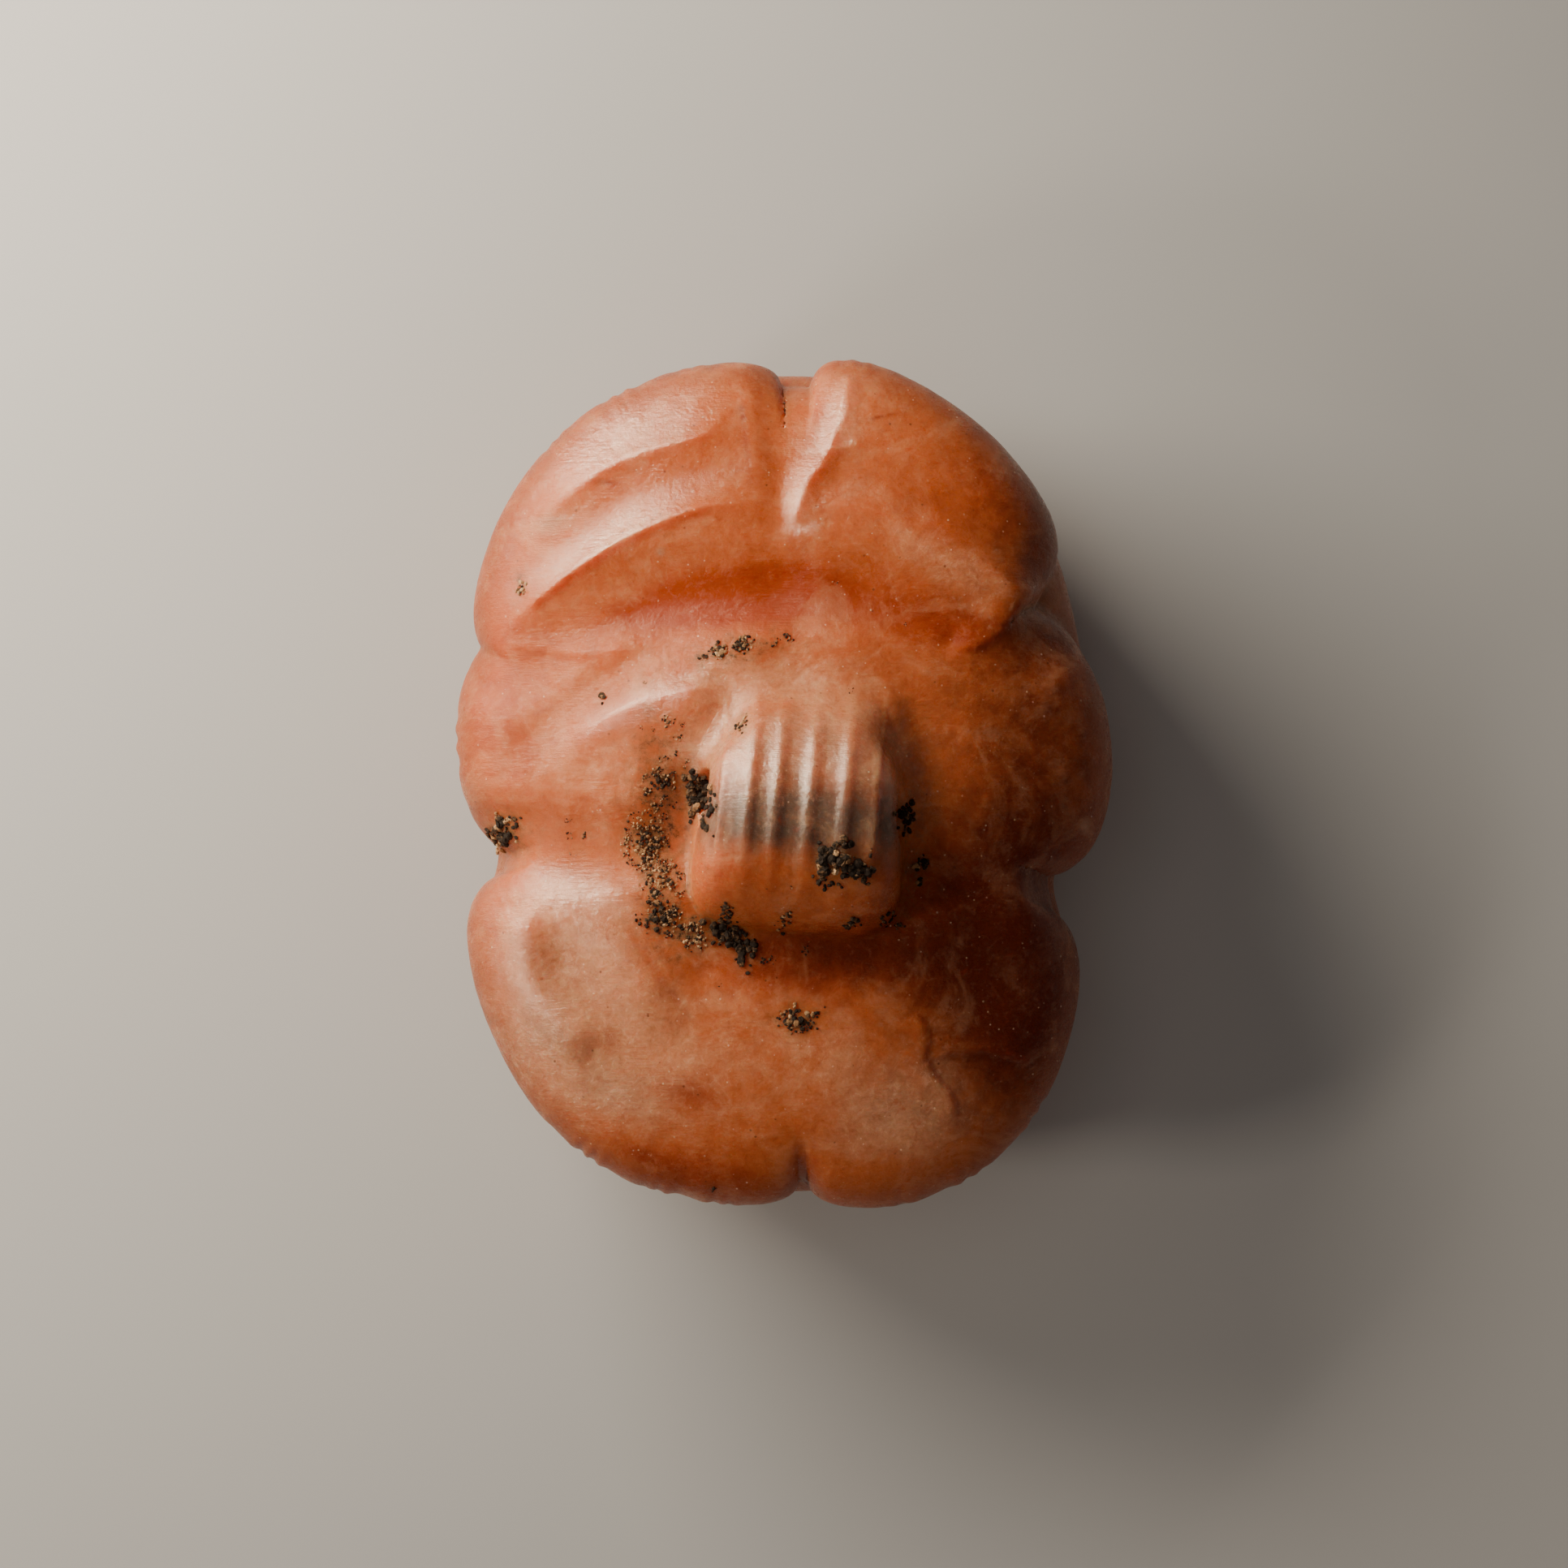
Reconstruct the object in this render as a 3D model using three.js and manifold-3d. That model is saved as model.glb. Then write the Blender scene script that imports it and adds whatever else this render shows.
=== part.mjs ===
// Heart scarab: a beetle carved from one pebble of carnelian, lying on its back with the legs upward.
// A ribbed, pierced loop for a cord stands on the belly. Millimetres and degrees.
// +X is to the right, +Y is towards the head and +Z is up. The origin is under the middle, at the
// worn flat spot of the back on which it rests.
import * as THREE from 'three';
import { mergeVertices } from 'three/addons/utils/BufferGeometryUtils.js';
import Module from 'manifold-3d';

const wasm = await Module();
wasm.setup();

// Plan sizes
const LENGTH = 34; // head to tail, over the legs
const WIDTH = 26.2; // over the middle pair of legs
const OVERHANG_ENDS = 0.6; // how far the legs reach out over the back at head and tail
const OVERHANG_SIDES = 0.85;
const BACK_LENGTH = LENGTH - 2 * OVERHANG_ENDS;
const BACK_WIDTH = WIDTH - 2 * OVERHANG_SIDES;

// Heights, one on another
const BACK_DEPTH = 5.9; // resting spot to the back's rim, where the back is widest
const LEG_RIM_RISE = 2.2; // from there to where the legs are widest
const BELLY_RISE = 4.2; // from there to the middle of the belly
const LOOP_RISE = 3.7; // from there to the top of the loop
const LEG_RIM_HEIGHT = BACK_DEPTH + LEG_RIM_RISE;
const BELLY_HEIGHT = LEG_RIM_HEIGHT + BELLY_RISE;
const HEIGHT = BELLY_HEIGHT + LOOP_RISE;

// The back, a plain dome under the legs
const BACK_SQUARENESS = 2.5;
const BACK_SHOULDER = 4.6; // how far the back goes on rising under the legs
const FLAT_SPOT_DEPTH = 0.12; // worn off the crown of the back
const BACK_ROUNDNESS = 2.3;

// The legs, a layer of six lobes over the back
const LEG_UNDERCUT = 3.4; // from the legs' rim down to where they join the back
const LEG_ROUNDNESS = 2.3;
const LEG_SQUARENESS = 2.9; // of the oval that the lobes are measured from
const BELLY_SQUARENESS = 2.5; // of the dome inside the lobes
const RIM_STARTS = 0.72; // the lobes shape only the belly beyond this share of their reach

// Each lobe: where it starts and ends around the belly, counted anticlockwise from +X, and how far it
// reaches at its start, middle and end, as shares of the legs' oval.
const LOBES = [
  { name: 'front right', from: 36, to: 86, reach: [0.971, 0.943, 1.059] },
  { name: 'front left', from: 90.3, to: 156.7, reach: [1.039, 0.965, 1.022] },
  { name: 'middle left', from: 151, to: 193.6, reach: [0.914, 1.002, 0.899] },
  { name: 'hind left', from: 197.5, to: 272.1, reach: [1.033, 0.968, 1.036] },
  { name: 'hind right', from: 273.6, to: 334.6, reach: [1.034, 0.989, 0.951] },
  { name: 'middle right', from: 341.2, to: 398, reach: [0.912, 0.999, 0.781] },
];
const LOBE_SHOULDER = 4; // a higher number makes squarer lobes

// Between the lobes the legs stop at this share of the back's radius, and at the gap on the right,
// between the front and middle legs, further in
const CORE_SHARE = 0.97;
const SIDE_GAP = { at: 37.4, depth: 0.1, width: 7 };

// Waists cut into the back's sides between the middle and hind legs
const WAISTS = [
  { at: 193.5, depth: 0.75, width: 7 },
  { at: 340.5, depth: 1.25, width: 9 },
];

// The loop on the belly
const LOOP_X = 0.55;
const LOOP_Y = -1.2;
const LOOP_TURN = -5; // degrees about Z
const LOOP_LENGTH = 8.3; // along the bore
const LOOP_WIDTH = 9.4; // across the bore, at the belly
const LOOP_SEAT = 1.1; // sunk in the belly
const LOOP_END_SQUARENESS = 5;
const LOOP_ARCH_ROUNDNESS = 2.2;
const LOOP_TAPER = 0.06; // narrower by this share at its head side, and wider at its tail side
const RIBS = 7;
const RIB_DEPTH = 0.3;
const RIB_FADE = 4; // the ribs end smoothly at the belly; a higher number ends them later
const BORE_DIAMETER = 2.2;
const BORE_RISE = 1; // of the bore's middle over the belly
const BORE_TO_HEAD = 0.3; // of the bore's middle from the loop's
const DRILL_OVERRUN = 2.35; // at each end of the loop, where the drill leaves a trace in the belly

// Relief on the belly. Lines are given in shares of the half width and half length, and heights and
// reaches in millimetres. Left and right are the two sides of a line as one walks along it.
// A crest is a sharp edge, and without one the relief is rounded. Negative heights are hollows.
const CREST_SOFTNESS = 0.2;
const RELIEF_START = 2; // the relief comes in over this height at the legs' rim
const PAIRED_RELIEF = [
  {
    name: 'front shin', height: 0.6, left: 4.0, right: 1.3, crest: true, fade: 0.3, mirrored: 0.6,
    line: [[-0.79, 0.54], [-0.66, 0.686], [-0.46, 0.767], [-0.257, 0.815], [-0.1, 0.9]],
  },
  {
    name: 'channel of the front leg', height: -0.3, left: 1.3, right: 1.3, fade: 0.3, mirrored: 0.7,
    line: [[-0.74, 0.53], [-0.56, 0.65], [-0.33, 0.735], [-0.08, 0.76]],
  },
  {
    name: 'front thigh', height: 0.65, left: 1.6, right: 1.9, crest: true, fade: 0.2, mirrored: 0.8,
    line: [[-0.9, 0.3], [-0.783, 0.409], [-0.659, 0.486], [-0.51, 0.562], [-0.336, 0.623],
      [-0.187, 0.654], [0, 0.61]],
  },
  {
    name: 'recess behind the front legs', height: -0.5, left: 2.3, right: 2.3, fade: 0.2, mirrored: 1,
    line: [[-0.86, 0.24], [-0.62, 0.38], [-0.32, 0.46], [0, 0.475]],
  },
  {
    name: 'upper edge of the middle leg', height: 0.5, left: 1.7, right: 1.3, crest: true, fade: 0.15,
    mirrored: 0.5,
    line: [[-0.87, -0.09], [-0.708, 0.092], [-0.547, 0.187], [-0.373, 0.283], [-0.187, 0.344],
      [0.03, 0.363]],
  },
  {
    name: 'lower edge of the middle leg', height: 0.5, left: 0.9, right: 1.6, crest: true, fade: 0.3,
    mirrored: 0.35,
    line: [[-0.7, 0.0], [-0.572, 0.14], [-0.435, 0.199], [-0.287, 0.231], [-0.18, 0.21]],
  },
  {
    name: 'waist valley', height: -0.4, left: 2.4, right: 2.0, fade: 0.15, mirrored: 1,
    line: [[-1.05, -0.19], [-0.7, -0.16], [-0.4, -0.15], [-0.15, -0.15]],
  },
  {
    name: 'hind thigh', height: 0.5, left: 2.3, right: 1.4, crest: true, fade: 0.25, mirrored: 0.4,
    line: [[-0.87, -0.35], [-0.77, -0.306], [-0.627, -0.312], [-0.512, -0.382], [-0.4, -0.48],
      [-0.3, -0.6]],
  },
  {
    name: 'hollow of the hind leg', height: -0.22, left: 1.3, right: 1.3, fade: 0.35, mirrored: 0.4,
    line: [[-0.74, -0.35], [-0.64, -0.44], [-0.5, -0.55], [-0.36, -0.66]],
  },
  {
    name: 'hind shin', height: 0.5, left: 1.2, right: 3.2, crest: true, fade: 0.25, mirrored: 0.5,
    line: [[-0.82, -0.3], [-0.788, -0.371], [-0.775, -0.45], [-0.728, -0.526], [-0.62, -0.6],
      [-0.45, -0.7]],
  },
];
const SINGLE_RELIEF = [
  {
    name: 'groove between the front legs', height: -0.8, left: 1.0, right: 1.7, fade: 0.25,
    line: [[-0.01, 1.25], [-0.01, 0.95], [0.01, 0.8], [0.03, 0.58]],
  },
  {
    name: 'inner edge of the right front leg', height: 0.4, left: 0.7, right: 2.4, crest: true, fade: 0.2,
    line: [[0.035, 0.6], [0.08, 0.7], [0.135, 0.78], [0.185, 0.853], [0.215, 0.96]],
  },
  {
    name: 'step at the left middle leg', height: 0.3, left: 1.8, right: 0.9, crest: true, fade: 0.2,
    line: [[-0.93, 0.31], [-0.81, 0.323], [-0.71, 0.311], [-0.547, 0.306], [-0.42, 0.335]],
  },
  {
    name: 'step at the right middle leg', height: 0.3, left: 0.9, right: 1.9, crest: true, fade: 0.2,
    line: [[0.76, 0.47], [0.745, 0.44], [0.68, 0.375], [0.594, 0.327], [0.5, 0.33]],
  },
  {
    name: 'cleft between the hind legs', height: -0.45, left: 1.2, right: 1.1, fade: 0.4,
    line: [[0.07, -1.2], [0.07, -1.0], [0.08, -0.88], [0.1, -0.7]],
  },
];

// Around the loop's foot the belly is hollowed on the tail side and swells on the head side
const MOAT_DEPTH = 0.5;
const MOAT_WIDTH = 1.6;
const SWELL_HEIGHT = 0.5;
const SWELL_REACH = 2.2;

// Lines cut into the back, which wear away towards the flat spot
const BACK_LINE_DEPTH = 0.45;
const BACK_LINE_REACH = 1.4;
const WORN_RADIUS = 4.6;
const WORN_EDGE = 1.6;
const BACK_LINES = [
  { name: 'wing cases meet', line: [[0, 0.24], [0, -0.4], [0, -1.1]] },
  { name: 'shoulder line', line: [[-1.1, 0.22], [-0.5, 0.26], [0, 0.24], [0.5, 0.26], [1.1, 0.22]] },
  { name: 'neck line', line: [[-0.85, 0.85], [-0.42, 0.66], [0, 0.62], [0.42, 0.66], [0.85, 0.85]] },
  { name: 'brow', line: [[-0.35, 1.1], [-0.22, 0.84], [0, 0.8], [0.22, 0.84], [0.35, 1.1]] },
];

// Mesh fineness
const STONE_CELLS = [30, 38, 12];
const LOOP_CELLS = [28, 10, 8];
const BORE_SIDES = 24;
const LINE_STEPS = 16;
const RAY_STEPS = 12;
const HALVINGS = 22;
const INNER_SHARE = 0.75; // where the rays start, as a share of the outline
const MERGE_DISTANCE = 1e-5;
const SLIVER = 0.004; // edges that change the surface by less than this go
const SNAP_REACH = 0.42; // vertices this close to a crest or a cut move onto it
const SNAP_SPACING = 0.3;
const SNAP_CLEAR = 1; // and only this far above or below the rims

const MIDDLE_HEIGHT = (BACK_DEPTH + LEG_RIM_HEIGHT) / 2;

const clamp01 = (t) => Math.min(1, Math.max(0, t));
const smooth = (t) => clamp01(t) ** 2 * (3 - 2 * clamp01(t));

function ovalRadius(angle, halfWidth, halfLength, squareness) {
  const across = Math.abs(Math.cos(angle) / halfWidth) ** squareness;
  const along = Math.abs(Math.sin(angle) / halfLength) ** squareness;
  return (across + along) ** (-1 / squareness);
}

// Degrees from a to b, between -180 and 180
function turnBetween(a, b) {
  return THREE.MathUtils.euclideanModulo(b - a + 180, 360) - 180;
}

function backRadius(angle) {
  const degrees = THREE.MathUtils.radToDeg(angle);
  let radius = ovalRadius(angle, BACK_WIDTH / 2, BACK_LENGTH / 2, BACK_SQUARENESS);
  for (const waist of WAISTS) {
    radius -= waist.depth * Math.exp(-((turnBetween(waist.at, degrees) / waist.width) ** 2));
  }
  return radius;
}

function legRadius(angle) {
  const degrees = THREE.MathUtils.radToDeg(angle);
  const gap = SIDE_GAP.depth * Math.exp(-((turnBetween(SIDE_GAP.at, degrees) / SIDE_GAP.width) ** 2));
  const core = (CORE_SHARE - gap) * backRadius(angle);
  const oval = ovalRadius(angle, WIDTH / 2, LENGTH / 2, LEG_SQUARENESS);
  let radius = core;
  for (const lobe of LOBES) {
    const half = (lobe.to - lobe.from) / 2;
    const share = turnBetween(lobe.from + half, degrees) / half;
    if (Math.abs(share) >= 1) continue;
    const [atFrom, atMiddle, atTo] = lobe.reach;
    const bend = (atFrom + atTo) / 2 - atMiddle;
    const reach = oval * (atMiddle + ((atTo - atFrom) / 2) * share + bend * share ** 2);
    const window = Math.sqrt(1 - Math.abs(share) ** LOBE_SHOULDER);
    radius = Math.max(radius, core + (reach - core) * window);
  }
  return radius;
}

// How far out a point of the belly is: 0 in the middle and 1 at the rim. The lobes count near the rim.
function legShare(angle, radius) {
  const overDome = radius / ovalRadius(angle, WIDTH / 2, LENGTH / 2, BELLY_SQUARENESS);
  const overLobe = radius / legRadius(angle);
  return THREE.MathUtils.lerp(overDome, overLobe, smooth((overLobe - RIM_STARTS) / (1 - RIM_STARTS)));
}

// A line through points in shares of the half width and half length, as a run of short steps
function planLine(points) {
  const curve = new THREE.SplineCurve(
    points.map(([u, v]) => new THREE.Vector2((u * WIDTH) / 2, (v * LENGTH) / 2)),
  );
  return curve.getPoints(LINE_STEPS);
}

// The point of a line nearest to x, y, with its distance, on which side x, y is, and how far along
function nearest(line, x, y) {
  let best = { distance: Infinity };
  for (let i = 0; i + 1 < line.length; i++) {
    const a = line[i];
    const dx = line[i + 1].x - a.x;
    const dy = line[i + 1].y - a.y;
    const t = clamp01(((x - a.x) * dx + (y - a.y) * dy) / (dx * dx + dy * dy));
    const point = new THREE.Vector2(a.x + t * dx, a.y + t * dy);
    const distance = Math.hypot(x - point.x, y - point.y);
    if (distance < best.distance) {
      const left = dx * (y - a.y) - dy * (x - a.x) > 0;
      best = { point, distance, left, along: (i + t) / (line.length - 1) };
    }
  }
  return best;
}

function featureHeight(feature, x, y) {
  if (!feature.box.containsPoint(new THREE.Vector2(x, y))) return 0;
  const { distance, left, along } = nearest(feature.path, x, y);
  const reach = left ? feature.left : feature.right;
  if (distance >= reach) return 0;
  const fade = smooth(along / feature.fade) * smooth((1 - along) / feature.fade);
  if (!feature.crest) return feature.height * fade * (1 - (distance / reach) ** 2) ** 2;
  const soft = Math.hypot(distance, CREST_SOFTNESS) - CREST_SOFTNESS;
  return feature.height * fade * (1 - soft / reach) ** 2;
}

function mirror(feature) {
  return {
    ...feature,
    line: feature.line.map(([u, v]) => [-u, v]),
    height: feature.height * feature.mirrored,
    left: feature.right,
    right: feature.left,
  };
}

function traced(feature) {
  const path = planLine(feature.line);
  const box = new THREE.Box2().setFromPoints(path).expandByScalar(Math.max(feature.left, feature.right));
  return { ...feature, path, box };
}

const RELIEF = [...PAIRED_RELIEF, ...PAIRED_RELIEF.map(mirror), ...SINGLE_RELIEF].map(traced);
const CREST_PATHS = RELIEF.filter((feature) => feature.crest).map((feature) => feature.path);
const BACK_PATHS = BACK_LINES.map((cut) => planLine(cut.line));

// The loop's own frame, with the bore along its x
function inLoop(x, y) {
  const turn = THREE.MathUtils.degToRad(-LOOP_TURN);
  const dx = x - LOOP_X;
  const dy = y - LOOP_Y;
  return [dx * Math.cos(turn) - dy * Math.sin(turn), dx * Math.sin(turn) + dy * Math.cos(turn)];
}

function aroundLoop(x, y) {
  const [across, along] = inLoop(x, y);
  const foot = Math.hypot(across / LOOP_LENGTH, along / LOOP_WIDTH) * 2;
  const outside = ((foot - 1) * (LOOP_LENGTH + LOOP_WIDTH)) / 4;
  const headSide = smooth(along / LOOP_WIDTH);
  const hollow = MOAT_DEPTH * Math.exp(-(((outside - MOAT_WIDTH / 2) / MOAT_WIDTH) ** 2));
  const swell = SWELL_HEIGHT * Math.exp(-((Math.max(outside, 0) / SWELL_REACH) ** 2));
  return THREE.MathUtils.lerp(-hollow, swell, headSide);
}

function bellyRelief(x, y) {
  return RELIEF.reduce((sum, feature) => sum + featureHeight(feature, x, y), aroundLoop(x, y));
}

function backCuts(x, y) {
  const worn = smooth((Math.hypot(x, y) - WORN_RADIUS) / WORN_EDGE);
  let deepest = 0;
  for (const path of BACK_PATHS) {
    const { distance } = nearest(path, x, y);
    deepest = Math.max(deepest, (1 - Math.min(1, distance / BACK_LINE_REACH) ** 2) ** 2);
  }
  return BACK_LINE_DEPTH * worn * deepest;
}

// Negative inside the stone without its loop, and positive outside
function stone(x, y, z) {
  const angle = Math.atan2(y, x);
  const radius = Math.hypot(x, y);
  const overBelly = smooth((z - LEG_RIM_HEIGHT) / RELIEF_START + 0.5);
  const relief = overBelly > 0 ? overBelly * bellyRelief(x, y) : 0;
  const legZ = z - LEG_RIM_HEIGHT - relief;
  const legHeight = legZ > 0 ? BELLY_RISE : LEG_UNDERCUT;
  const legs = legShare(angle, radius) ** LEG_ROUNDNESS
    + Math.abs(legZ / legHeight) ** LEG_ROUNDNESS - 1;
  const backZ = z - BACK_DEPTH + (z < BACK_DEPTH ? -backCuts(x, y) : 0);
  const backHeight = backZ > 0 ? BACK_SHOULDER : BACK_DEPTH + FLAT_SPOT_DEPTH;
  const back = (radius / backRadius(angle)) ** BACK_ROUNDNESS
    + Math.abs(backZ / backHeight) ** BACK_ROUNDNESS - 1;
  return Math.max(-z, Math.min(legs, back));
}

// Negative inside the loop, in its own frame with z from its foot
function loop(x, y, z) {
  const pitch = LOOP_LENGTH / RIBS;
  const atCrown = 1 - clamp01(Math.abs((2 * y) / LOOP_WIDTH)) ** RIB_FADE;
  const wave = (1 + Math.cos((2 * Math.PI * (x + LOOP_LENGTH / 2)) / pitch)) / 2;
  const groove = RIB_DEPTH * atCrown * wave;
  const rise = LOOP_SEAT + LOOP_RISE - groove;
  const reach = LOOP_WIDTH / 2 - groove;
  const arch = (Math.abs(y / reach) ** LOOP_ARCH_ROUNDNESS + Math.abs(z / rise) ** LOOP_ARCH_ROUNDNESS)
    ** (1 / LOOP_ARCH_ROUNDNESS);
  const halfLength = (LOOP_LENGTH / 2) * (1 - (LOOP_TAPER * y) / (LOOP_WIDTH / 2));
  return Math.abs(x / halfLength) ** LOOP_END_SQUARENESS + arch ** LOOP_END_SQUARENESS - 1;
}

// The first point on the way from a start inside to beyond a target at which the solid ends
function surfacePoint(inside, start, target) {
  const at = (t) => start.clone().lerp(target, t);
  const isOut = (t) => {
    const p = at(t);
    return inside(p.x, p.y, p.z) > 0;
  };
  const stride = 1 / RAY_STEPS;
  let out = stride;
  while (!isOut(out)) out += stride;
  let within = out - stride;
  for (let i = 0; i < HALVINGS; i++) {
    const middle = (within + out) / 2;
    if (isOut(middle)) out = middle;
    else within = middle;
  }
  return at((within + out) / 2);
}

function withoutExtras(geometry) {
  geometry.deleteAttribute('normal');
  geometry.deleteAttribute('uv');
  return mergeVertices(geometry, MERGE_DISTANCE);
}

function moveVertices(geometry, place) {
  const position = geometry.attributes.position;
  for (let i = 0; i < position.count; i++) {
    const p = place(new THREE.Vector3().fromBufferAttribute(position, i));
    position.setXYZ(i, p.x, p.y, p.z);
  }
  return geometry;
}

// Places on crests and cuts where a vertex has already moved
const taken = [];

// A vertex near a crest of the belly, or near a cut in the back, moves onto it and stays on the surface
function snapped(p) {
  const onBelly = p.z > LEG_RIM_HEIGHT + SNAP_CLEAR;
  if (!onBelly && p.z > BACK_DEPTH - SNAP_CLEAR) return p;
  const paths = onBelly ? CREST_PATHS : BACK_PATHS;
  const found = paths.map((path) => nearest(path, p.x, p.y));
  const closest = found.reduce((best, one) => (one.distance < best.distance ? one : best));
  const atAnEnd = closest.along <= 0 || closest.along >= 1;
  if (closest.distance > SNAP_REACH || atAnEnd) return p;
  if (taken.some((point) => point.distanceTo(closest.point) < SNAP_SPACING)) return p;
  taken.push(closest.point);
  const { x, y } = closest.point;
  const end = onBelly ? HEIGHT : -1;
  return surfacePoint(stone, new THREE.Vector3(x, y, MIDDLE_HEIGHT), new THREE.Vector3(x, y, end));
}

// A block is drawn in to the stone's surface. Its top and bottom, made round, are the belly and back.
function stoneGeometry() {
  const block = withoutExtras(new THREE.BoxGeometry(2, 2, 2, ...STONE_CELLS));
  return moveVertices(block, (p) => {
    const x = p.x * Math.sqrt(1 - p.y ** 2 / 2);
    const y = p.y * Math.sqrt(1 - p.x ** 2 / 2);
    const angle = Math.atan2(y, x);
    const reach = Math.max(legRadius(angle), backRadius(angle));
    const start = new THREE.Vector3(x * reach * INNER_SHARE, y * reach * INNER_SHARE, MIDDLE_HEIGHT);
    const target = new THREE.Vector3(x * reach, y * reach, MIDDLE_HEIGHT * (1 + p.z));
    return snapped(surfacePoint(stone, start, target));
  });
}

function loopGeometry() {
  const block = withoutExtras(new THREE.BoxGeometry(2, 2, 2, ...LOOP_CELLS));
  moveVertices(block, (p) => {
    const target = new THREE.Vector3(
      (p.x * LOOP_LENGTH) / 2,
      (p.y * LOOP_WIDTH) / 2,
      p.z * (LOOP_SEAT + LOOP_RISE),
    );
    return surfacePoint(loop, new THREE.Vector3(), target);
  });
  block.rotateZ(THREE.MathUtils.degToRad(LOOP_TURN));
  return block.translate(LOOP_X, LOOP_Y, BELLY_HEIGHT - LOOP_SEAT);
}

function boreGeometry() {
  const radius = BORE_DIAMETER / 2;
  const drill = new THREE.CylinderGeometry(radius, radius, LOOP_LENGTH + 2 * DRILL_OVERRUN, BORE_SIDES);
  drill.rotateZ(Math.PI / 2).rotateZ(THREE.MathUtils.degToRad(LOOP_TURN));
  return withoutExtras(drill.translate(LOOP_X, LOOP_Y + BORE_TO_HEAD, BELLY_HEIGHT + BORE_RISE));
}

function toSolid(geometry) {
  return new wasm.Manifold(new wasm.Mesh({
    numProp: 3,
    vertProperties: geometry.attributes.position.array,
    triVerts: new Uint32Array(geometry.index.array),
  }));
}

function toGeometry(solid) {
  const mesh = solid.getMesh();
  const geometry = new THREE.BufferGeometry();
  geometry.setAttribute('position', new THREE.BufferAttribute(mesh.vertProperties, 3));
  geometry.setIndex(new THREE.BufferAttribute(mesh.triVerts, 1));
  geometry.computeVertexNormals();
  return geometry;
}

// The origin is under the middle of the whole carving
function centred(geometry) {
  geometry.computeBoundingBox();
  const middle = geometry.boundingBox.getCenter(new THREE.Vector3());
  return geometry.translate(-middle.x, -middle.y, -geometry.boundingBox.min.z);
}

function carvedStone() {
  const pierced = toSolid(stoneGeometry()).add(toSolid(loopGeometry())).subtract(toSolid(boreGeometry()));
  const solid = pierced.simplify(SLIVER);
  const carnelian = new THREE.MeshStandardMaterial({ color: 0xc8764a, roughness: 0.35, metalness: 0 });
  const mesh = new THREE.Mesh(centred(toGeometry(solid)), carnelian);
  mesh.name = 'carved_stone';
  return mesh;
}

const scarab = new THREE.Group();
scarab.add(carvedStone());

export default scarab;
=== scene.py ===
"""Looks of the heart scarab: the fine carving, the stone's colours and polish, painted shade and light
in places, and the soil on it.

The form repeats the sizes of the CAD model, in millimetres, with the head towards +Y and the belly up.
Its relief is finer, and in places up to 0.7 mm away from the CAD model's. Wear, chips and soil are
added to it. The last step scales everything to metres.
"""
import math
import random

import bmesh
import bpy
import numpy as np
from mathutils import Matrix, Vector, noise
from mathutils.bvhtree import BVHTree


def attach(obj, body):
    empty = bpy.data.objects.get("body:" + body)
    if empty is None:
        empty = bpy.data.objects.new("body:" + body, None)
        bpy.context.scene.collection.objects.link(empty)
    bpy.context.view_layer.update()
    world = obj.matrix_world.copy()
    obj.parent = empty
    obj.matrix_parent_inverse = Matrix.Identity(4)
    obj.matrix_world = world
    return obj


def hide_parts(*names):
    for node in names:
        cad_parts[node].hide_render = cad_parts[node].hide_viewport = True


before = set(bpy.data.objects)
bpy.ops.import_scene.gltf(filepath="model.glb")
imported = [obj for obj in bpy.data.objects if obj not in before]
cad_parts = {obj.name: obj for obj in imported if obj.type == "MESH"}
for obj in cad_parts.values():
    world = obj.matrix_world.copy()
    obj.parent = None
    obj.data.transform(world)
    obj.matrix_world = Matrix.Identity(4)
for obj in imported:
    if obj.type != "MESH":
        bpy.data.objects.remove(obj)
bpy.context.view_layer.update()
MM = 0.001

# Plan sizes and heights of the stone
LENGTH = 34.0
WIDTH = 26.2
BACK_LENGTH = 32.8
BACK_WIDTH = 24.5
BACK_DEPTH = 5.9
LEG_RIM_HEIGHT = 8.1
BELLY_RISE = 4.2
BELLY_HEIGHT = LEG_RIM_HEIGHT + BELLY_RISE
LOOP_RISE = 3.7
BACK_SQUARENESS = 2.5
BACK_SHOULDER = 4.6
FLAT_SPOT_DEPTH = 0.12
LEG_UNDERCUT = 3.4
LEG_FILLET = 0.025  # between legs and back, as a share of the radius
ROUNDNESS = 2.3
LEG_SQUARENESS = 2.9
BELLY_SQUARENESS = 2.5
RIM_STARTS = 0.72
LOBE_SOFTNESS = 6  # degrees, of the valleys between the legs away from the rim
SHARP_FROM = 0.86
# Where the painted shade along the rim starts, as a share of the radius
RIM_SHADE_BAND = 0.9

# Each leg: from and to, in degrees around the belly, and its reach at the start, middle and end, as
# shares of the oval's radius
LOBES = [
    (36, 86, (0.971, 0.943, 1.059)),
    (90.3, 156.7, (1.039, 0.965, 1.022)),
    (151, 193.6, (0.914, 1.002, 0.899)),
    (197.5, 272.1, (1.033, 0.968, 1.036)),
    (273.6, 334.6, (1.034, 0.989, 0.951)),
    (341.2, 398, (0.912, 0.999, 0.781)),
]
LOBE_SHOULDER = 4
CORE_SHARE = 0.97
SIDE_GAP = (37.4, 0.1, 7)  # where in degrees, depth as a share of the radius, and width in degrees
WAISTS = [(193.5, 0.75, 7), (340.5, 1.25, 9)]  # where in degrees, depth, and width in degrees

# Small flakes along the rim: from, to, number of flakes and depth
RIM_FLAKES = [
    (70, 85, 4, 0.05),
    (97, 128, 9, 0.1),
    (158, 186, 5, 0.14),
    (232, 268, 11, 0.13),
    (281, 312, 8, 0.1),
]
RIM_FLAKE_HEIGHT = 1.3
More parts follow.
